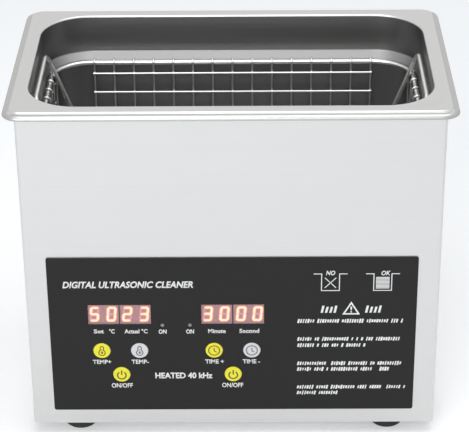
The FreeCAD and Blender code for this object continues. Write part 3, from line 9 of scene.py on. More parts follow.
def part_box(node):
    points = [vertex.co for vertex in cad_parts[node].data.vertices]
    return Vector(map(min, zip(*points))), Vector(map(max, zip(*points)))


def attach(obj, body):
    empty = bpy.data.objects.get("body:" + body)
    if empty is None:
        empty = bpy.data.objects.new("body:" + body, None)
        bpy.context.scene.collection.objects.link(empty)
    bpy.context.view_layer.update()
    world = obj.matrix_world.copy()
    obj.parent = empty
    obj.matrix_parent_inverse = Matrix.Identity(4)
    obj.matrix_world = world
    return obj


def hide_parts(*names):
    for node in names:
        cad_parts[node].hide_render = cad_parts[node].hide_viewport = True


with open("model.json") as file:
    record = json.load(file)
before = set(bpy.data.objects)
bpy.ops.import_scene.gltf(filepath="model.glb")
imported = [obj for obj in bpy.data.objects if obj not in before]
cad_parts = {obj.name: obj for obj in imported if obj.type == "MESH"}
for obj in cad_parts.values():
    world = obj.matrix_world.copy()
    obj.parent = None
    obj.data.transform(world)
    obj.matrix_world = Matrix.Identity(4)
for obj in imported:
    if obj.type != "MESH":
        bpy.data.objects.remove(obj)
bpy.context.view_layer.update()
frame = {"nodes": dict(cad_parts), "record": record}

MM = 0.001
HAIR = 0.02 * MM


# ---------------------------------------------------------------- camera, floor and light
CAMERA_PLACE = (0.01057, -1.05447, 0.68329)
CAMERA_YAW, CAMERA_PITCH, CAMERA_ROLL = -0.518, 28.30, -0.486
CAMERA_LENS = 144.28


def camera():
    """A long lens in front of and above the machine, looking slightly down at it."""
    yaw, pitch, roll = (math.radians(turn) for turn in (CAMERA_YAW, CAMERA_PITCH, CAMERA_ROLL))
    ahead = Vector((math.sin(yaw) * math.cos(pitch), math.cos(yaw) * math.cos(pitch), -math.sin(pitch)))
    level = Vector((math.cos(yaw), -math.sin(yaw), 0))
    above = level.cross(ahead)
    right = level * math.cos(roll) + above * math.sin(roll)
    up = above * math.cos(roll) - level * math.sin(roll)
    data = bpy.data.cameras.new("camera")
    data.sensor_width = 36
    data.lens = CAMERA_LENS
    data.clip_end = 30
    item = bpy.data.objects.new("camera", data)
    bpy.context.scene.collection.objects.link(item)
    turn = Matrix((right, up, -ahead)).transposed().to_4x4()
    item.matrix_world = Matrix.Translation(CAMERA_PLACE) @ turn
    bpy.context.scene.camera = item


def soft_box(name, place, aim, width, height, power):
    """A rectangular lamp at a place, turned to its aim."""
    data = bpy.data.lights.new(name, "AREA")
    data.shape = "RECTANGLE"
    data.size, data.size_y = width, height
    data.energy = power
    item = bpy.data.objects.new(name, data)
    bpy.context.scene.collection.objects.link(item)
    item.location = place
    item.rotation_euler = (Vector(aim) - Vector(place)).to_track_quat("-Z", "Y").to_euler()


def seen_ray(nodes, links):
    """1 for camera, glossy and transmission rays, 0 for the others."""
    path = nodes.new("ShaderNodeLightPath")
    total = None
    for output in ("Is Camera Ray", "Is Glossy Ray", "Is Transmission Ray"):
        if total is None:
            total = path.outputs[output]
            continue
        add = nodes.new("ShaderNodeMath")
        add.operation = "ADD"
        add.use_clamp = True
        links.new(total, add.inputs[0])
        links.new(path.outputs[output], add.inputs[1])
        total = add.outputs[0]
    return total


SKY, SKY_STRENGTH = (0.9, 0.95, 1.0, 1), 0.5
FLOOR_COLOUR, FLOOR_GLOW = (0.82, 0.82, 0.82, 1), 0.27


def studio():
    """A pale floor, a soft sky that shows as plain white, and two soft lamps."""
    world = bpy.data.worlds.new("studio")
    bpy.context.scene.world = world
    world.use_nodes = True
    nodes, links = world.node_tree.nodes, world.node_tree.links
    nodes.clear()
    soft, plain = nodes.new("ShaderNodeBackground"), nodes.new("ShaderNodeBackground")
    soft.inputs["Color"].default_value = SKY
    soft.inputs["Strength"].default_value = SKY_STRENGTH
    plain.inputs["Color"].default_value = (1, 1, 1, 1)
    plain.inputs["Strength"].default_value = 1
    mix, out = nodes.new("ShaderNodeMixShader"), nodes.new("ShaderNodeOutputWorld")
    links.new(seen_ray(nodes, links), mix.inputs[0])
    links.new(soft.outputs[0], mix.inputs[1])
    links.new(plain.outputs[0], mix.inputs[2])
    links.new(mix.outputs[0], out.inputs[0])

    bpy.ops.mesh.primitive_plane_add(size=12, location=(0, 0, 0))
    floor = bpy.context.object
    floor.name = "floor"
    paper = bpy.data.materials.new("pale_paper")
    paper.use_nodes = True
    nodes, links = paper.node_tree.nodes, paper.node_tree.links
    nodes.clear()
    matt, glow = nodes.new("ShaderNodeBsdfDiffuse"), nodes.new("ShaderNodeEmission")
    matt.inputs["Color"].default_value = FLOOR_COLOUR
    part = nodes.new("ShaderNodeMath")
    part.operation = "MULTIPLY"
    part.inputs[1].default_value = FLOOR_GLOW
    links.new(seen_ray(nodes, links), part.inputs[0])
    links.new(part.outputs[0], glow.inputs["Strength"])
    add, out = nodes.new("ShaderNodeAddShader"), nodes.new("ShaderNodeOutputMaterial")
    links.new(matt.outputs[0], add.inputs[0])
    links.new(glow.outputs[0], add.inputs[1])
    links.new(add.outputs[0], out.inputs[0])
    floor.data.materials.append(paper)

    soft_box("overhead", (0.15, -0.2, 1.5), (0, 0, 0.2), 1.4, 1.0, 9.5)
    soft_box("front_fill", (-0.5, -1.5, 0.9), (0, 0, 0.1), 1.2, 0.9, 12)


# ---------------------------------------------------------------- finishes
def pattern(mat, coordinates, stretch, detail=4):
    """A stretched noise over the piece; returns its value output."""
    nodes, links = mat.node_tree.nodes, mat.node_tree.links
    where, fit = nodes.new("ShaderNodeTexCoord"), nodes.new("ShaderNodeMapping")
    fit.inputs["Scale"].default_value = stretch
    noise = nodes.new("ShaderNodeTexNoise")
    noise.inputs["Scale"].default_value = 1
    noise.inputs["Detail"].default_value = detail
    noise.inputs["Roughness"].default_value = 0.6
    links.new(where.outputs[coordinates], fit.inputs["Vector"])
    links.new(fit.outputs[0], noise.inputs["Vector"])
    return noise.outputs[0]


def between(mat, factor, low, high, start=0.3, end=0.7):
    """Maps a pattern's value to a number between two others."""
    node = mat.node_tree.nodes.new("ShaderNodeMapRange")
    node.inputs["From Min"].default_value, node.inputs["From Max"].default_value = start, end
    node.inputs["To Min"].default_value, node.inputs["To Max"].default_value = low, high
    mat.node_tree.links.new(factor, node.inputs["Value"])
    return node.outputs[0]


def blend(mat, factor, first, second):
    """Mixes two colours, or a colour and another node's output, by a factor."""
    node = mat.node_tree.nodes.new("ShaderNodeMix")
    node.data_type = "RGBA"
    mat.node_tree.links.new(factor, node.inputs[0])
    for socket, colour in ((node.inputs[6], first), (node.inputs[7], second)):
        if isinstance(colour, bpy.types.NodeSocket):
            mat.node_tree.links.new(colour, socket)
        else:
            socket.default_value = (*colour[:3], 1)
    return node.outputs[2]


def surface(name, colour, metallic, rough, stretch, contrast=0.08, rough_range=0.08,
            bump=0.1, depth=0.05, coordinates="Object", **sockets):
    """One finish, whose colour, roughness and relief vary with a stretched noise and a broad, faint one.

    contrast and rough_range are how far the colour and the roughness vary, and depth is in mm.
    """
    mat = bpy.data.materials.new(name)
    mat.use_nodes = True
    nodes, links = mat.node_tree.nodes, mat.node_tree.links
    shader = nodes["Principled BSDF"]
    shader.inputs["Metallic"].default_value = metallic
    fine = pattern(mat, coordinates, stretch)
    broad = pattern(mat, coordinates, (14, 14, 14), detail=2)
    dark = [c * (1 - contrast) for c in colour[:3]]
    light = [min(1, c * (1 + contrast)) for c in colour[:3]]
    grain = blend(mat, between(mat, fine, 0, 1), dark, light)
    clouded = [c * (1 - contrast * 0.8) for c in colour[:3]]
    shade = blend(mat, between(mat, broad, 0, 0.35), grain, clouded)
    links.new(shade, shader.inputs["Base Color"])
    links.new(between(mat, fine, rough - rough_range, rough + rough_range), shader.inputs["Roughness"])
    if bump:
        relief = nodes.new("ShaderNodeBump")
        relief.inputs["Strength"].default_value = bump
        relief.inputs["Distance"].default_value = depth * MM
        links.new(fine, relief.inputs["Height"])
        links.new(relief.outputs[0], shader.inputs["Normal"])
    for socket, number in sockets.items():
        shader.inputs[socket.replace("_", " ")].default_value = number
    return mat


def spangled(name, colour):
    """Hot-dip galvanised sheet, in flat crystals of slightly different greys."""
    mat = surface(name, colour, 1.0, 0.42, (500, 500, 500), 0.05)
    nodes, links = mat.node_tree.nodes, mat.node_tree.links
    shader = nodes["Principled BSDF"]
    where, crystals = nodes.new("ShaderNodeTexCoord"), nodes.new("ShaderNodeTexVoronoi")
    crystals.inputs["Scale"].default_value = 130
    links.new(where.outputs["Object"], crystals.inputs["Vector"])
    grey = nodes.new("ShaderNodeSeparateColor")
    links.new(crystals.outputs["Color"], grey.inputs[0])
    colour_mix = blend(mat, grey.outputs[0], [c * 0.82 for c in colour], [min(1, c * 1.12) for c in colour])
    links.new(colour_mix, shader.inputs["Base Color"])
    links.new(between(mat, grey.outputs[1], 0.3, 0.55, 0, 1), shader.inputs["Roughness"])
    return mat


def glowing(name, colour, glow, strength):
    """A plastic that also gives off light."""
    mat = surface(name, colour, 0, 0.5, (900, 900, 900), 0.03, bump=0)
    shader = mat.node_tree.nodes["Principled BSDF"]
    shader.inputs["Emission Color"].default_value = (*glow, 1)
    shader.inputs["Emission Strength"].default_value = strength
    return mat


def circuit_board(name, colour):
    """Green resist with faint copper tracks showing through."""
    mat = surface(name, colour, 0, 0.35, (900, 900, 900), 0.05)
    nodes, links = mat.node_tree.nodes, mat.node_tree.links
    shader = nodes["Principled BSDF"]
    where, fit = nodes.new("ShaderNodeTexCoord"), nodes.new("ShaderNodeMapping")
    tracks = nodes.new("ShaderNodeTexBrick")
    fit.inputs["Rotation"].default_value = (math.radians(90), 0, 0)
    tracks.inputs["Scale"].default_value = 60
    tracks.inputs["Mortar Size"].default_value = 0.03
    tracks.inputs["Color1"].default_value = (*colour, 1)
    tracks.inputs["Color2"].default_value = (*[c * 0.85 for c in colour], 1)
    tracks.inputs["Mortar"].default_value = (*[min(1, c * 1.7) for c in colour], 1)
    links.new(where.outputs["Object"], fit.inputs["Vector"])
    links.new(fit.outputs[0], tracks.inputs["Vector"])
    links.new(tracks.outputs["Color"], shader.inputs["Base Color"])
    return mat


SURFACES = {  # colour, metallic, roughness, stretch, and what differs from the usual variation
    "brushed_casing": dict(colour=(0.67, 0.67, 0.665), metallic=1, rough=0.36, stretch=(5, 5, 2400),
                           contrast=0.025, rough_range=0.04, bump=0.05, depth=0.01),
    "zinc_screws": dict(colour=(0.62, 0.62, 0.6), metallic=1, rough=0.3, stretch=(700, 700, 700),
                        contrast=0.08),
    "black_rubber": dict(colour=(0.02, 0.02, 0.02), metallic=0, rough=0.7, stretch=(1500, 1500, 1500),
                         contrast=0.2, rough_range=0.1, bump=0.3, depth=0.1),
    "drawn_steel": dict(colour=(0.58, 0.58, 0.575), metallic=1, rough=0.36, stretch=(5, 1400, 1),
                        contrast=0.02, rough_range=0.04, bump=0.04, depth=0.01, coordinates="UV"),
    "seal_rubber": dict(colour=(0.05, 0.05, 0.05), metallic=0, rough=0.75, stretch=(900, 900, 900),
                        contrast=0.15),
    "heater_foil": dict(colour=(0.55, 0.22, 0.12), metallic=0, rough=0.6, stretch=(300, 300, 900),
                        contrast=0.12),
    "sensor_metal": dict(colour=(0.6, 0.6, 0.58), metallic=1, rough=0.25, stretch=(600, 600, 200),
                         contrast=0.06),
    "black_bakelite": dict(colour=(0.03, 0.03, 0.03), metallic=0, rough=0.4, stretch=(900, 900, 900),
                           contrast=0.2),
    "panel_film": dict(colour=(0.009, 0.0085, 0.0085), metallic=0, rough=0.5,
                       stretch=(2600, 2600, 2600), contrast=0.18, rough_range=0.08, bump=0.12,
                       depth=0.03, Specular_IOR_Level=0.3),
    "window_film": dict(colour=(0.62, 0.42, 0.43), metallic=0, rough=0.2, stretch=(300, 300, 300),
                        contrast=0.03, rough_range=0.04, bump=0, Alpha=0.3),
    "yellow_key": dict(colour=(0.88, 0.80, 0.04), metallic=0, rough=0.42, stretch=(1800, 1800, 1800),
                       contrast=0.05, rough_range=0.05, bump=0.08, depth=0.03),
    "pale_key": dict(colour=(0.70, 0.70, 0.71), metallic=0, rough=0.42, stretch=(1800, 1800, 1800),
                     contrast=0.04, rough_range=0.05, bump=0.08, depth=0.03),
    "number_module": dict(colour=(0.60, 0.24, 0.26), metallic=0, rough=0.45, stretch=(900, 900, 900),
                          contrast=0.05),
    "switch_plastic": dict(colour=(0.04, 0.04, 0.045), metallic=0, rough=0.45, stretch=(900, 900, 900),
                           contrast=0.15),
    "grey_lens": dict(colour=(0.22, 0.22, 0.22), metallic=0, rough=0.5, stretch=(900, 900, 900),
                      contrast=0.06, rough_range=0.04, bump=0.05),
    "cast_aluminium": dict(colour=(0.7, 0.7, 0.72), metallic=1, rough=0.38, stretch=(60, 60, 1200),
                           contrast=0.06),
    "grey_ceramic": dict(colour=(0.5, 0.48, 0.44), metallic=0, rough=0.6, stretch=(1200, 1200, 1200),
                         contrast=0.12),
    "copper_plate": dict(colour=(0.7, 0.42, 0.25), metallic=1, rough=0.35, stretch=(500, 500, 500),
                         contrast=0.1),
    "plain_steel": dict(colour=(0.45, 0.45, 0.46), metallic=1, rough=0.35, stretch=(60, 60, 1200),
                        contrast=0.08),
    "power_package": dict(colour=(0.03, 0.03, 0.03), metallic=0, rough=0.55, stretch=(1500, 1500, 1500),
                          contrast=0.2),
    "ferrite": dict(colour=(0.06, 0.06, 0.065), metallic=0, rough=0.5, stretch=(1200, 1200, 1200),
                    contrast=0.25),
    "capacitor_sleeve": dict(colour=(0.05, 0.07, 0.2), metallic=0, rough=0.35, stretch=(400, 400, 60),
                             contrast=0.1),
    "terminal_green": dict(colour=(0.05, 0.3, 0.12), metallic=0, rough=0.45, stretch=(900, 900, 900),
                           contrast=0.1),
    "inlet_plastic": dict(colour=(0.03, 0.03, 0.032), metallic=0, rough=0.45,
                          stretch=(2200, 2200, 2200), contrast=0.2, rough_range=0.08, bump=0.2),
    "plated_brass": dict(colour=(0.7, 0.62, 0.4), metallic=1, rough=0.25, stretch=(400, 900, 400),
                         contrast=0.06),
    "fuse_glass": dict(colour=(0.8, 0.85, 0.85), metallic=0, rough=0.08, stretch=(200, 200, 200),
                       contrast=0.02, rough_range=0.03, bump=0, Alpha=0.35),
    "fan_plastic": dict(colour=(0.03, 0.03, 0.03), metallic=0, rough=0.5, stretch=(1600, 1600, 1600),
                        contrast=0.2, rough_range=0.08, bump=0.2),
    "lead_insulation": dict(colour=(0.4, 0.05, 0.04), metallic=0, rough=0.45, stretch=(600, 600, 600),
                            contrast=0.1),
    "ribbon_grey": dict(colour=(0.4, 0.4, 0.42), metallic=0, rough=0.5, stretch=(1600, 60, 60),
                        contrast=0.2),
    "basket_wire": dict(colour=(0.72, 0.72, 0.71), metallic=1, rough=0.32, stretch=(500, 500, 500),
                        contrast=0.06, rough_range=0.05, bump=0.05),
}
finishes = {name: surface(name, **look) for name, look in SURFACES.items()}
finishes["galvanised_sheet"] = spangled("galvanised_sheet", (0.55, 0.56, 0.57))
finishes["green_board"] = circuit_board("green_board", (0.03, 0.2, 0.08))
white_ink = surface("white_ink", (0.84, 0.84, 0.83), 0, 0.5, (2500, 2500, 2500), 0.04, 0.06, 0)
olive_ink = surface("olive_ink", (0.12, 0.10, 0.012), 0, 0.5, (2500, 2500, 2500), 0.08, 0.06, 0)
grey_ink = surface("grey_ink", (0.13, 0.13, 0.135), 0, 0.5, (2500, 2500, 2500), 0.08, 0.06, 0)
segment_glow = glowing("segment_glow", (0.9, 0.35, 0.25), (1.0, 0.30, 0.17), 0.85)
segment_core = glowing("segment_core", (1.0, 0.9, 0.7), (1.0, 0.83, 0.46), 0.95)
# The unlit segments get a faint painted glow, though they are not lit.
segment_unlit_painted_glow = glowing("segment_unlit_painted_glow", (0.8, 0.4, 0.45), (1.0, 0.42, 0.5), 0.25)


def shaded_inside():
    """The tank's inner face: the drawn sheet, darkened as painted shade, whose grain fades towards the
    floor.
    """
    # Base colour 0.25, against the flange's 0.58, is painted shade on the same steel.
    mat = surface("tank_inside_painted_shade", (0.25, 0.25, 0.247), 1, 0.36, (5, 1100, 1), 0.04, 0.04, 0.03, 0.01, "UV")
    nodes, links = mat.node_tree.nodes, mat.node_tree.links
    colour = nodes["Principled BSDF"].inputs["Base Color"]
    sheet = colour.links[0].from_socket
    where, apart = nodes.new("ShaderNodeTexCoord"), nodes.new("ShaderNodeSeparateXYZ")
    links.new(where.outputs["Object"], apart.inputs[0])
    faded_below, full_above = 0.140, 0.235
    deep = between(mat, apart.outputs[2], 1, 0, faded_below, full_above)
    dull = blend(mat, deep, sheet, (0.25, 0.25, 0.253))
    links.new(dull, colour)
    return mat


tank_inside_painted_shade = shaded_inside()
# The rolled edge is the same drawn steel darkened to 0.46: painted shade that dims its highlight.
rolled_rim_painted_shade = surface("rolled_rim_painted_shade", (0.46, 0.46, 0.455), 1, 0.38, (5, 1400, 1), 0.02, 0.04, 0.04, 0.01, "UV")


def dress_frame():
    """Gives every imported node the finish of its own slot."""
    for part in frame["record"]["subparts"]:
        item = frame["nodes"][part["node"]]
        for slot in item.material_slots:
            slot.material = finishes[part["material_slot"]]


# ---------------------------------------------------------------- making meshes
def piece(name, body, material, bm=None, mesh=None):
    """Finishes a mesh as a piece that rides on a body."""
    if mesh is None:
        mesh = bpy.data.meshes.new(name)
        bm.to_mesh(mesh)
        bm.free()
    mesh.name = name
    item = bpy.data.objects.new(name, mesh)
    bpy.context.scene.collection.objects.link(item)
    if material is not None:
        mesh.materials.clear()
        mesh.materials.append(material)
    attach(item, body)
    return item


def plate(bm, corners, front, back):
    """A thin flat plate in XZ with the given outline, between two depths."""
    ahead = [bm.verts.new((x, front, z)) for x, z in corners]
    behind = [bm.verts.new((x, back, z)) for x, z in corners]
    bm.faces.new(ahead)
    bm.faces.new(behind[::-1])
    for place in range(len(corners)):
        after = (place + 1) % len(corners)
        bm.faces.new((ahead[after], ahead[place], behind[place], behind[after]))


def stroke(bm, points, width, front, back, closed=False):
    """A ribbon of even width along points in XZ, as a thin plate."""
    count = len(points)
    left, right = [], []
    for place, (x, z) in enumerate(points):
        here = Vector((x, z))
        before = Vector(points[place - 1]) if closed or place > 0 else None
        after = Vector(points[(place + 1) % count]) if closed or place < count - 1 else None
        into = (here - before).normalized() if before is not None else None
        out = (after - here).normalized() if after is not None else None
        along = ((into or out) + (out or into)).normalized()
        side = Vector((-along.y, along.x))
        stretch = 1.0
        if into is not None and out is not None:
            stretch = 1 / max(0.35, side.dot(Vector((-out.y, out.x))))
        left.append(here + side * (width / 2 * stretch))
        right.append(here - side * (width / 2 * stretch))
    rows = [[bm.verts.new((p.x, y, p.y)) for p in row] for y in (front, back) for row in (left, right)]
    fl, fr, bl, br = rows
    runs = range(count) if closed else range(count - 1)
    for a in runs:
        b = (a + 1) % count
        bm.faces.new((fl[a], fr[a], fr[b], fl[b]))
        bm.faces.new((bl[b], br[b], br[a], bl[a]))
        bm.faces.new((fl[b], bl[b], bl[a], fl[a]))
        bm.faces.new((fr[a], br[a], br[b], fr[b]))
    if not closed:
        bm.faces.new((fl[0], bl[0], br[0], fr[0]))
        bm.faces.new((fr[-1], br[-1], bl[-1], fl[-1]))


def arc(x, z, radius, start, end, count=40):
    """Points on an arc, in degrees anticlockwise as seen from the front."""
    turns = [math.radians(start + (end - start) * step / count) for step in range(count + 1)]
    return [(x + radius * math.cos(turn), z + radius * math.sin(turn)) for turn in turns]


def circle(x, z, radius, count=48):
    return arc(x, z, radius, 0, 360, count)[:-1]


def outward(bm):
    bmesh.ops.recalc_face_normals(bm, faces=bm.faces)


# ---------------------------------------------------------------- geometry node trees
class Tree:
    """A geometry node group with named inputs, and short ways to add and join its nodes."""

    def __init__(self, name, **inputs):
        self.group = bpy.data.node_groups.new(name, "GeometryNodeTree")
        interface = self.group.interface
        interface.new_socket("Geometry", in_out="INPUT", socket_type="NodeSocketGeometry")
        interface.new_socket("Geometry", in_out="OUTPUT", socket_type="NodeSocketGeometry")
        kinds = {int: "NodeSocketInt", float: "NodeSocketFloat"}
        for title, start in inputs.items():
            if isinstance(start, bpy.types.Object):
                kind = "NodeSocketObject"
            elif isinstance(start, bpy.types.Material):
                kind = "NodeSocketMaterial"
            else:
                kind = kinds[type(start)]
            interface.new_socket(title, in_out="INPUT", socket_type=kind).default_value = start
        self.start = self.group.nodes.new("NodeGroupInput")
        self.end = self.group.nodes.new("NodeGroupOutput")

    def add(self, kind, settings=None, **inputs):
        node = self.group.nodes.new(kind)
        for key, setting in (settings or {}).items():
            setattr(node, key, setting)
        for title, given in inputs.items():
            title = title.replace("_", " ")
            socket = next(s for s in node.inputs if s.name == title and s.enabled)
            if isinstance(given, bpy.types.NodeSocket):
                self.group.links.new(given, socket)
            else:
                socket.default_value = given
        return node

    def given(self, title):
        return self.start.outputs[title]

    def finish(self, instances, material):
        real = self.add("GeometryNodeRealizeInstances", Geometry=instances)
        dressed = self.add("GeometryNodeSetMaterial", Geometry=real.outputs[0], Material=material)
        self.group.links.new(dressed.outputs[0], self.end.inputs[0])
        return self.group


def grown(points, tree, **inputs):
    """Runs a tree over loose points or a mesh, and returns the plain mesh that it makes."""
    if isinstance(points, bpy.types.Mesh):
        seed_mesh = points
    else:
        seed_mesh = bpy.data.meshes.new("seed")
        seed_mesh.from_pydata([tuple(p) for p in points], [], [])
    holder = bpy.data.objects.new("seed", seed_mesh)
    bpy.context.scene.collection.objects.link(holder)
    modifier = holder.modifiers.new("grow", "NODES")
    modifier.node_group = tree
    for socket in tree.interface.items_tree:
        if socket.in_out == "INPUT" and socket.name in inputs:
            modifier[socket.identifier] = inputs[socket.name]
    ready = holder.evaluated_get(bpy.context.evaluated_depsgraph_get())
    mesh = bpy.data.meshes.new_from_object(ready)
    bpy.data.objects.remove(holder)
    return mesh


def joined(meshes):
    bm = bmesh.new()
    for mesh in meshes:
        bm.from_mesh(mesh)
    return bm


# ---------------------------------------------------------------- tank
PER_CORNER = 14
PER_SIDE = (16, 10)


def rounded_ring(half_x, half_y, corner, z):
    """Points round a rounded rectangle, anticlockwise from above, the same count at every size."""
    ring = []
    for quarter in range(4):
        angle = math.radians(90 * quarter)
        sign = ((1, 1), (-1, 1), (-1, -1), (1, -1))[quarter]
        centre = Vector((sign[0] * (half_x - corner), sign[1] * (half_y - corner)))
        for step in range(PER_CORNER + 1):
            turn = angle + math.pi / 2 * step / PER_CORNER
            ring.append(Vector((centre.x + corner * math.cos(turn), centre.y + corner * math.sin(turn), z)))
        after = ((1, 1), (-1, 1), (-1, -1), (1, -1))[(quarter + 1) % 4]
        turn = angle + math.pi / 2
        begin = ring[-1]
        finish = Vector((after[0] * (half_x - corner) + corner * math.cos(turn),
                         after[1] * (half_y - corner) + corner * math.sin(turn), z))
        count = PER_SIDE[quarter % 2]
        ring += [begin.lerp(finish, step / count) for step in range(1, count)]
    return ring


def tank_rows():
    """Half width, half depth, corner radius and height of each ring, from the skirt's edge to the floor."""
    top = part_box("tank")[1].z / MM
    rows = [(132.5, 81, 11, top - 4.0)]

    def bend(half_x, half_y, corner, radius, level, start, end, steps):
        """Part of a circle about a centre line; a positive cosine is outwards, a positive sine is up."""
        for step in range(steps + 1):
            turn = math.radians(start + (end - start) * step / steps)
            out = radius * math.cos(turn)
            rows.append((half_x + out, half_y + out, corner + out, level + radius * math.sin(turn)))

    bend(129.9, 78.4, 8.4, 2.6, top - 3.8, 0, 90, 8)
    bend(129.1, 77.6, 7.6, 0.6, top - 0.6, 270, 180, 4)
    bend(127.9, 76.4, 6.4, 0.6, top - 0.6, 0, 90, 4)
    rows.append((126.5, 75, 6.5, top))
    rows.append((122.7, 71.2, 31.5, top))
    bend(121.2, 69.7, 31.2, 1.2, top - 1.2, 90, 180, 5)
    rows.append((120, 68.5, 30, top - 12))
    rows.append((120, 68.5, 30, top - 23))
    bend(118.5, 67, 28.5, 1.5, top - 23.9, 0, -42, 4)
    bend(117.2, 65.7, 27.2, -1.2, top - 29.5, -42, 0, 4)
    for step in range(1, 6):
        share = step / 6
        rows.append((116 - 0.8 * share, 64.5 - 0.8 * share, 26 - 0.8 * share, top - 30 - share * 58))
    bend(103.1, 51.6, 13.1, 12, top - 88, 0, -90, 10)
    rows.append((92, 40, 8, top - 100))
    rows.append((60, 20, 4, top - 100))
    return [(a * MM, b * MM, c * MM, z * MM) for a, b, c, z in rows]


RIM_BEND = 1.3  # depth of the bend at the mouth, below the flange
MOUTH_HALF_X, MOUTH_HALF_Y = 121.5, 70
ROLL_HALF_X, ROLL_HALF_Y = 128.6, 77.1  # where the rolled edge starts


def tank():
    """The drawn tank as one sheet, its grain running along the section."""
    bm = bmesh.new()
    uv = bm.loops.layers.uv.new("along_sheet")
    rings, places = [], []
    travelled = 0.0
    before = None
    for half_x, half_y, corner, z in tank_rows():
        if before is not None:
            travelled += math.hypot(half_x - before[0], z - before[1])
        before = (half_x, z)
        rings.append([bm.verts.new(p) for p in rounded_ring(half_x, half_y, corner, z)])
        places.append(travelled)
    count = len(rings[0])
    around = [0.0]
    for place in range(count):
        a, b = rings[0][place].co, rings[0][(place + 1) % count].co
        around.append(around[-1] + (b - a).length)
    for level in range(len(rings) - 1):
        lower, upper = rings[level], rings[level + 1]
        for place in range(count):
            after = (place + 1) % count
            face = bm.faces.new((lower[place], lower[after], upper[after], upper[place]))
            spots = ((place, level), (place + 1, level), (place + 1, level + 1), (place, level + 1))
            for loop, (u, v) in zip(face.loops, spots):
                loop[uv].uv = (around[u], places[v])
    cap = bm.faces.new(rings[-1])
    for loop in cap.loops:
        loop[uv].uv = (loop.vert.co.x, places[-1] + loop.vert.co.y)
    for face in bm.faces:
        face.smooth = True
    cap.smooth = False
    item = piece("drawn_tank", "cleaner", finishes["drawn_steel"], bm)
    # Slot 1 is the inner face, a darkened copy of the drawn steel as painted shade.
    item.data.materials.append(tank_inside_painted_shade)
    # Slot 2 is the rolled edge, a darkened copy of the drawn steel as painted shade.
    item.data.materials.append(rolled_rim_painted_shade)
    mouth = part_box("tank")[1].z - RIM_BEND * MM
    for polygon in item.data.polygons:
        across, along = abs(polygon.center.x) / MM, abs(polygon.center.y) / MM
        if polygon.center.z < mouth and across < MOUTH_HALF_X and along < MOUTH_HALF_Y:
            polygon.material_index = 1
        elif across > ROLL_HALF_X or along > ROLL_HALF_Y:
            polygon.material_index = 2
    wall = item.modifiers.new("sheet", "SOLIDIFY")
    wall.thickness = 0.8 * MM
    wall.offset = -1
    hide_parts("tank")


# ---------------------------------------------------------------- lettering on the panel
PANEL_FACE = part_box("panel_overlay")[0].y


CAPITAL = 0.70  # height of a capital letter of size 1


def lettering(words, x, z, height, width, slant, weight, from_left=False):
    """Raised ink lettering on the panel, sizes in mm.

    x is the middle of the words, or their left end; z is the middle of the capitals.
    """
    curve = bpy.data.curves.new("words", "FONT")
    curve.body = words
    curve.size = 1
    curve.shear = slant
    curve.offset = weight
    curve.resolution_u = 3
    curve.align_x = "LEFT"
    holder = bpy.data.objects.new("words", curve)
    bpy.context.scene.collection.objects.link(holder)
    mesh = bpy.data.meshes.new_from_object(holder.evaluated_get(bpy.context.evaluated_depsgraph_get()))
    bpy.data.objects.remove(holder)
    xs = [v.co.x for v in mesh.vertices]
    rise = height / CAPITAL
    stretch = width / (max(xs) - min(xs))
    start = x if from_left else x - width / 2
    bm = bmesh.new()
    bm.from_mesh(mesh)
    bpy.data.meshes.remove(mesh)
    for vert in bm.verts:
        vert.co = Vector(((start + (vert.co.x - min(xs)) * stretch) * MM, PANEL_FACE - HAIR,
                          (z - height / 2 + vert.co.y * rise) * MM))
    flat = list(bm.faces)
    for face in flat:
        if face.normal.y > 0:
            face.normal_flip()
    raised = bmesh.ops.extrude_face_region(bm, geom=flat, use_keep_orig=True)
    moved = [g for g in raised["geom"] if isinstance(g, bmesh.types.BMVert)]
    bmesh.ops.translate(bm, verts=moved, vec=(0, HAIR, 0))
    outward(bm)
    done = bpy.data.meshes.new("words")
    bm.to_mesh(done)
    bm.free()
    return done


BAR_LEAN = math.radians(14)
BAR_PITCH, BAR_HEIGHT, BAR_WIDTH = 1.5, 3.0, 0.95
FIRST_SEED = 3


def word_bars():
    """Rows of short slanted strokes with gaps, as plain print that says nothing."""
    tree = Tree("word_bars", Count=40, Pitch=1.6 * MM, Height=3.2 * MM, Width=0.8 * MM, Seed=1,
                Ink=white_ink)
    line = tree.add("GeometryNodeMeshLine", {"mode": "OFFSET"}, Count=tree.given("Count"))
    step = tree.add("ShaderNodeCombineXYZ", X=tree.given("Pitch"))
    offset = next(s for s in line.inputs if s.name == "Offset" and s.enabled)
    tree.group.links.new(step.outputs[0], offset)
    gap = tree.add("FunctionNodeRandomValue", {"data_type": "BOOLEAN"}, Probability=0.15,
                   Seed=tree.given("Seed"))
    kept = tree.add("GeometryNodeDeleteGeometry", Geometry=line.outputs[0], Selection=gap.outputs[3])
    box = tree.add("ShaderNodeCombineXYZ", X=tree.given("Width"), Y=HAIR, Z=tree.given("Height"))
    cube = tree.add("GeometryNodeMeshCube", Size=box.outputs[0])
    tall = tree.add("FunctionNodeRandomValue", {"data_type": "FLOAT"}, Min=0.62, Max=1.0,
                    Seed=tree.given("Seed"))
    wide = tree.add("FunctionNodeRandomValue", {"data_type": "FLOAT"}, Min=0.7, Max=1.35, Seed=7)
    size = tree.add("ShaderNodeCombineXYZ", X=wide.outputs[1], Y=1.0, Z=tall.outputs[1])
    on = tree.add("GeometryNodeInstanceOnPoints", Points=kept.outputs[0], Instance=cube.outputs[0],
                  Scale=size.outputs[0], Rotation=(0, BAR_LEAN, 0))
    return tree.finish(on.outputs[0], tree.given("Ink"))


PRINT_ROWS = [  # left end, middle height, right end
    (39.6, 82.8, 103.8), (39.6, 69.9, 104.9), (39.6, 65.4, 82.0), (39.6, 52.2, 104.5),
    (39.6, 48.0, 96.5), (39.6, 34.8, 107.4), (39.6, 30.6, 64.5),
]


TANK_SIGNS = ((59.3, False), (90.8, True))  # middle, and whether the drawn tank is full
FILL_LINES, LOWEST_LINE, LINE_PITCH = 9, 106.0, 0.92


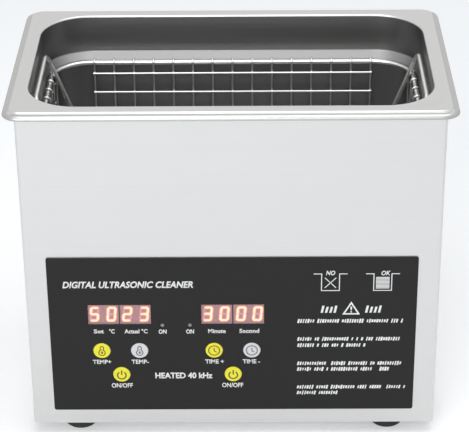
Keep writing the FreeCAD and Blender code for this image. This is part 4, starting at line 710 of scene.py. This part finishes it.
def panel_print():
    """All the white print: words, rows of word bars, two tank signs and a warning triangle."""
    meshes = [
        lettering("DIGITAL ULTRASONIC CLEANER", -102.8, 108.9, 4.3, 79.2, 0.22, 0.034, from_left=True),
        lettering("Set", -82.0, 75.9, 2.7, 6.2, 0, 0.032),
        lettering("°C", -74.0, 75.9, 2.9, 3.4, 0, 0.032),
        lettering("Actual °C", -59.2, 75.9, 2.8, 14.2, 0, 0.032),
        lettering("ON", -42.9, 75.6, 2.9, 4.9, 0, 0.032),
        lettering("ON", -26.1, 75.6, 2.9, 4.9, 0, 0.032),
        lettering("Minute", -9.6, 75.9, 2.8, 10.8, 0, 0.032),
        lettering("Second", 10.2, 75.9, 2.8, 12.2, 0, 0.032),
        lettering("TEMP+", -80.9, 53.8, 2.9, 11.4, 0, 0.030),
        lettering("TEMP-", -57.3, 53.8, 2.9, 10.6, 0, 0.030),
        lettering("TIME +", -11.3, 53.8, 2.9, 11.6, 0, 0.030),
        lettering("TIME -", 11.4, 53.8, 2.9, 10.8, 0, 0.030),
        lettering("ON/OFF", -69.0, 36.4, 3.1, 13.2, 0, 0.030),
        lettering("ON/OFF", -0.3, 36.4, 3.1, 13.2, 0, 0.030),
        lettering("HEATED 40 kHz", -30.5, 43.6, 3.9, 35.6, 0, 0.042),
        lettering("NO", 59.3, 116.6, 2.9, 5.6, 0.2, 0.034),
        lettering("OK", 92.6, 116.4, 2.9, 5.6, 0.2, 0.034),
    ]
    tree = word_bars()
    for number, (left, z, right) in enumerate(PRINT_ROWS):
        mesh = grown([(0, 0, 0)], tree, Count=round((right - left) / BAR_PITCH), Pitch=BAR_PITCH * MM,
                     Height=BAR_HEIGHT * MM, Width=BAR_WIDTH * MM, Seed=FIRST_SEED + number)
        mesh.transform(Matrix.Translation(((left + 0.7) * MM, PANEL_FACE - HAIR / 2, z * MM)))
        meshes.append(mesh)
    bm = joined(meshes)
    front, back = PANEL_FACE - HAIR, PANEL_FACE
    for x, full in TANK_SIGNS:
        outline = [(x - 10.2, 115.9), (x - 5.4, 115.9), (x - 5.4, 104.3),
                   (x + 5.4, 104.3), (x + 5.4, 115.9), (x + 10.2, 115.9)]
        stroke(bm, [(a * MM, b * MM) for a, b in outline], 0.55 * MM, front, back)
        if full:
            for step in range(FILL_LINES):
                level = (LOWEST_LINE + step * LINE_PITCH) * MM
                stroke(bm, [((x - 4.1) * MM, level), ((x + 4.1) * MM, level)], 0.62 * MM, front, back)
        else:
            for sign in (-1, 1):
                stroke(bm, [((x - 3.4 * sign) * MM, 106.2 * MM), ((x + 3.4 * sign) * MM, 113.2 * MM)],
                       0.5 * MM, front, back)
    warning_sign(bm, front, back)
    outward(bm)
    piece("panel_print", "cleaner", white_ink, bm)


def warning_sign(bm, front, back):
    """A plain triangle with a stroke and a dot, between two pairs of slanted bars."""
    x, z, size = 72.2, 91.2, 4.6
    corners = [(x - size, z - 3.4), (x + size, z - 3.4), (x, z + 4.4)]
    stroke(bm, [(a * MM, b * MM) for a, b in corners], 0.95 * MM, front, back, closed=True)
    mark = ((-0.35, -0.9), (0.35, -0.9), (0.55, 1.7), (-0.55, 1.7))
    plate(bm, [((x + a) * MM, (z + b) * MM) for a, b in mark], front, back)
    plate(bm, circle(x * MM, (z - 2.0) * MM, 0.52 * MM, 16), front, back)
    for start in (54.5, 81.5):
        for step, top in enumerate((2.4, 1.6, 1.6, 2.4)):
            a = start + step * 2.6
            bar = ((-0.9, -2.6), (0.5, -2.6), (1.5, top), (0.1, top))
            plate(bm, [((a + u) * MM, (z + v) * MM) for u, v in bar], front, back)


# ---------------------------------------------------------------- keys and number windows
def icons():
    """Printed marks, each riding on its own key."""
    def mark(key, ink, draw):
        low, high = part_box(key)
        x, z = (low.x + high.x) / 2, (low.z + high.z) / 2
        bm = bmesh.new()
        draw(bm, x, z, low.y - HAIR, low.y)
        outward(bm)
        piece(key + "_mark", key, ink, bm)

    def power(bm, x, z, front, back):
        stroke(bm, arc(x, z - 0.5 * MM, 2.65 * MM, 126, 414), 0.85 * MM, front, back)
        stroke(bm, [(x, z - 0.2 * MM), (x, z + 3.0 * MM)], 0.85 * MM, front, back)

    def clock(bm, x, z, front, back):
        stroke(bm, circle(x, z, 3.4 * MM), 0.62 * MM, front, back, closed=True)
        hands = [(x, z + 1.9 * MM), (x, z - 0.3 * MM), (x + 1.5 * MM, z - 1.2 * MM)]
        stroke(bm, hands, 0.6 * MM, front, back)
        for turn in range(0, 360, 30):
            tick = [arc(x, z, radius * MM, turn, turn + 1, 1)[0] for radius in (2.9, 2.5)]
            stroke(bm, tick, 0.25 * MM, front, back)

    def thermometer(bm, x, z, front, back):
        bulb = arc(x, z - 1.4 * MM, 1.95 * MM, 122, 418)
        tube = arc(x, z + 2.2 * MM, 1.03 * MM, 0, 180, 14)
        stroke(bm, bulb + tube, 0.62 * MM, front, back, closed=True)
        plate(bm, circle(x, z - 1.4 * MM, 0.75 * MM, 24), front, back)
        stroke(bm, [(x, z - 0.9 * MM), (x, z + 1.3 * MM)], 0.3 * MM, front, back)

    for key, ink, draw in (
        ("key_temp_up", olive_ink, thermometer), ("key_temp_down", grey_ink, thermometer),
        ("key_heat_power", olive_ink, power), ("key_time_up", olive_ink, clock),
        ("key_time_down", grey_ink, clock), ("key_sonic_power", olive_ink, power),
    ):
        mark(key, ink, draw)


SEGMENTS = {"0": "abcdef", "2": "abged", "3": "abgcd", "5": "afgcd"}
DIGIT_TALL, DIGIT_WIDE, DIGIT_LEAN = 9.0, 4.4, 0.09
ALL_SEGMENTS = "abcdefg"


def digit_segments(figure):
    """Centre lines of the lit and of the unlit segments, in mm from the digit's middle."""
    w, h = DIGIT_WIDE / 2, DIGIT_TALL / 2
    ends = {"a": ((-w, h), (w, h)), "b": ((w, h), (w, 0)), "c": ((w, 0), (w, -h)),
            "d": ((-w, -h), (w, -h)), "e": ((-w, 0), (-w, -h)), "f": ((-w, h), (-w, 0)),
            "g": ((-w, 0), (w, 0))}
    lit = [ends[letter] for letter in SEGMENTS[figure]]
    unlit = [ends[letter] for letter in ALL_SEGMENTS if letter not in SEGMENTS[figure]]
    return lit, unlit


WINDOW_WIDTH = 38.2
DIVIDER_WIDTH = 0.76
FIGURE_PLATE = 0.03  # how thick the plate of a segment is


def segment_shape(start, end, slim, inset):
    """Outline of a segment with pointed ends, about its centre line."""
    a, b = Vector(start), Vector(end)
    along = (b - a).normalized()
    side = Vector((-along.y, along.x))
    tip = slim / 2
    near, far = a + along * inset, b - along * inset
    slope = along * tip * 0.5
    return [near - slope, near + side * tip + slope, far + side * tip - slope,
            far + slope, far - side * tip - slope, near - side * tip + slope]


def numbers():
    """Lit and unlit figures on the number modules, and the bar down the middle of each window."""
    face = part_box("display_modules")[0].y
    windows_low, windows_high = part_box("display_windows")
    middle = (windows_low.z + windows_high.z) / 2 / MM - 0.15
    figures = (  # left edge of the window, its figures and their places from that edge
        (windows_low.x / MM, "5023", (3.9, 14.3, 23.9, 34.1)),
        (windows_high.x / MM - WINDOW_WIDTH, "3000", (3.9, 14.1, 24.3, 34.3)),
    )
    for name, material, slim, inset, lift in (
        # The unlit segments carry a faint painted glow.
        ("number_unlit", segment_unlit_painted_glow, 1.3, 0.5, 0.05),
        ("number_glow", segment_glow, 2.2, 0.0, 0.05),
        ("number_core", segment_core, 1.35, 0.15, 0.08),
    ):
        bm = bmesh.new()
        for left, text, places in figures:
            for place, figure in zip(places, text):
                lit, unlit = digit_segments(figure)
                for start, end in unlit if name == "number_unlit" else lit:
                    corners = [((left + place + p.x + p.y * DIGIT_LEAN) * MM, (middle + p.y) * MM)
                               for p in segment_shape(start, end, slim, inset)]
                    plate(bm, corners, face - lift * MM, face - (lift - FIGURE_PLATE) * MM)
        outward(bm)
        piece(name, "cleaner", material, bm)
    bm = bmesh.new()
    for left, _, _ in figures:
        line, half = (left + WINDOW_WIDTH / 2) * MM, DIVIDER_WIDTH / 2 * MM
        plate(bm, [(line - half, windows_low.z), (line + half, windows_low.z),
                   (line + half, windows_high.z), (line - half, windows_high.z)],
              windows_low.y - HAIR, windows_low.y)
    outward(bm)
    piece("window_dividers", "cleaner", finishes["black_bakelite"], bm)


# ---------------------------------------------------------------- screws
def pan_head(radius, height):
    """A domed head with a cross recess, its underside at the origin, pointing along +Z."""
    bm = bmesh.new()
    arms, wide = radius * 0.55, radius * 0.13
    profile = [(radius * 0.96, 0), (radius, height * 0.12), (radius, height * 0.4)]
    for step in range(1, 7):
        turn = math.radians(90 * step / 6)
        profile.append((radius * (0.72 + 0.28 * math.cos(turn)) if step < 6 else radius * 0.72,
                        height * (0.4 + 0.6 * math.sin(turn))))
    count = 48
    rings = []
    for r, z in profile:
        turns = [math.tau * i / count for i in range(count)]
        rings.append([bm.verts.new((r * math.cos(turn), r * math.sin(turn), z)) for turn in turns])
    for lower, upper in zip(rings, rings[1:]):
        for i in range(count):
            j = (i + 1) % count
            bm.faces.new((lower[i], lower[j], upper[j], upper[i]))
    bm.faces.new(rings[0][::-1])
    cross = [(wide, wide), (wide, arms), (-wide, arms), (-wide, wide), (-arms, wide), (-arms, -wide),
             (-wide, -wide), (-wide, -arms), (wide, -arms), (wide, -wide), (arms, -wide), (arms, wide)]
    top = [bm.verts.new((x, y, height)) for x, y in cross]
    deep = [bm.verts.new((x * 0.55, y * 0.55, height * 0.35)) for x, y in cross]
    for i in range(12):
        j = (i + 1) % 12
        bm.faces.new((top[i], top[j], deep[j], deep[i]))
    bm.faces.new(deep)
    edges = [bm.edges.get((rings[-1][i], rings[-1][(i + 1) % count])) for i in range(count)]
    edges += [bm.edges.get((top[i], top[(i + 1) % 12])) for i in range(12)]
    bmesh.ops.triangle_fill(bm, edges=edges, use_beauty=True)
    outward(bm)
    for face in bm.faces:
        face.smooth = False
    mesh = bpy.data.meshes.new("pan_head")
    bm.to_mesh(mesh)
    bm.free()
    item = bpy.data.objects.new("pan_head", mesh)
    bpy.context.scene.collection.objects.link(item)
    return item


HEAD_RADIUS, HEAD_HEIGHT = 2.9, 2.0
SCREW_INSET = 2.8  # from the end of a set of screws to the axis of its last one


def screw_heads():
    """Domed cross-recess heads over the plain heads of each set of outside screws."""
    head = pan_head(HEAD_RADIUS * MM, HEAD_HEIGHT * MM)
    tree = Tree("screw_heads", Head=head, Tilt=0.0, Swing=0.0, Finish=finishes["zinc_screws"])
    seen = tree.add("GeometryNodeObjectInfo", Object=tree.given("Head"))
    turn = tree.add("ShaderNodeCombineXYZ", X=tree.given("Tilt"), Z=tree.given("Swing"))
    as_turn = tree.add("FunctionNodeEulerToRotation", Euler=turn.outputs[0])
    on = tree.add("GeometryNodeInstanceOnPoints", Points=tree.given("Geometry"),
                  Instance=seen.outputs["Geometry"], Rotation=as_turn.outputs[0])
    group = tree.finish(on.outputs[0], tree.given("Finish"))
    quarter = math.pi / 2
    low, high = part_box("fan_screws")
    inset = SCREW_INSET * MM
    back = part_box("housing_shell")[1].y
    points = [(x, back, z) for x in (low.x + inset, high.x - inset)
              for z in (low.z + inset, high.z - inset)]
    fan = grown(points, group, Tilt=-quarter)
    low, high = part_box("bottom_plate_screws")
    shell_low, shell_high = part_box("housing_shell")
    ends = (low.y + inset, high.y - inset)
    level = (low.z + high.z) / 2
    sides = [grown([(x, y, level) for y in ends], group, Tilt=quarter, Swing=swing)
             for x, swing in ((shell_high.x, quarter), (shell_low.x, -quarter))]
    bpy.data.objects.remove(head)
    piece("outside_screw_heads", "cleaner", None, joined([fan, *sides]))


# ---------------------------------------------------------------- basket
WIRE_PITCH, ROW_PITCH, MESH_FLOOR = 12.7, 13.1, 138.4
WIRE = 1.35
RING_WIDTH, RING_DEPTH = 229.2, 116
WALL_INSET = 1.5 + 0.65 + 0.05  # half the ring's wire, half a mesh wire and the gap between


def weld_spots():
    """Small round lumps where the basket's wires cross."""
    pitch, row_pitch, floor = WIRE_PITCH * MM, ROW_PITCH * MM, MESH_FLOOR * MM
    wire = WIRE * MM
    levels = [floor + row * row_pitch for row in range(1, 5)]
    points = [(x * pitch, y * pitch, floor + wire / 2) for x in range(-7, 8) for y in range(-4, 5)]
    reach_y = (RING_DEPTH / 2 - WALL_INSET) * MM
    for z in levels:
        for x in range(-7, 8):
            for side in (-1, 1):
                points.append((x * pitch, side * (reach_y - wire / 2), z))
    reach_x = (RING_WIDTH / 2 - WALL_INSET) * MM
    for z in levels:
        for y in range(-3, 4):
            for side in (-1, 1):
                points.append((side * (reach_x + wire / 2), y * pitch, z))
    tree = Tree("weld_spots", Radius=0.72 * MM, Finish=finishes["basket_wire"])
    lump = tree.add("GeometryNodeMeshIcoSphere", Radius=tree.given("Radius"), Subdivisions=2)
    on = tree.add("GeometryNodeInstanceOnPoints", Points=tree.given("Geometry"), Instance=lump.outputs[0])
    group = tree.finish(on.outputs[0], tree.given("Finish"))
    mesh = grown(points, group)
    for polygon in mesh.polygons:
        polygon.use_smooth = True
    piece("basket_welds", "basket", None, mesh=mesh)


# ---------------------------------------------------------------- build
camera()
studio()
dress_frame()
tank()
panel_print()
icons()
numbers()
screw_heads()
weld_spots()

bpy.context.scene.view_settings.view_transform = "Standard"
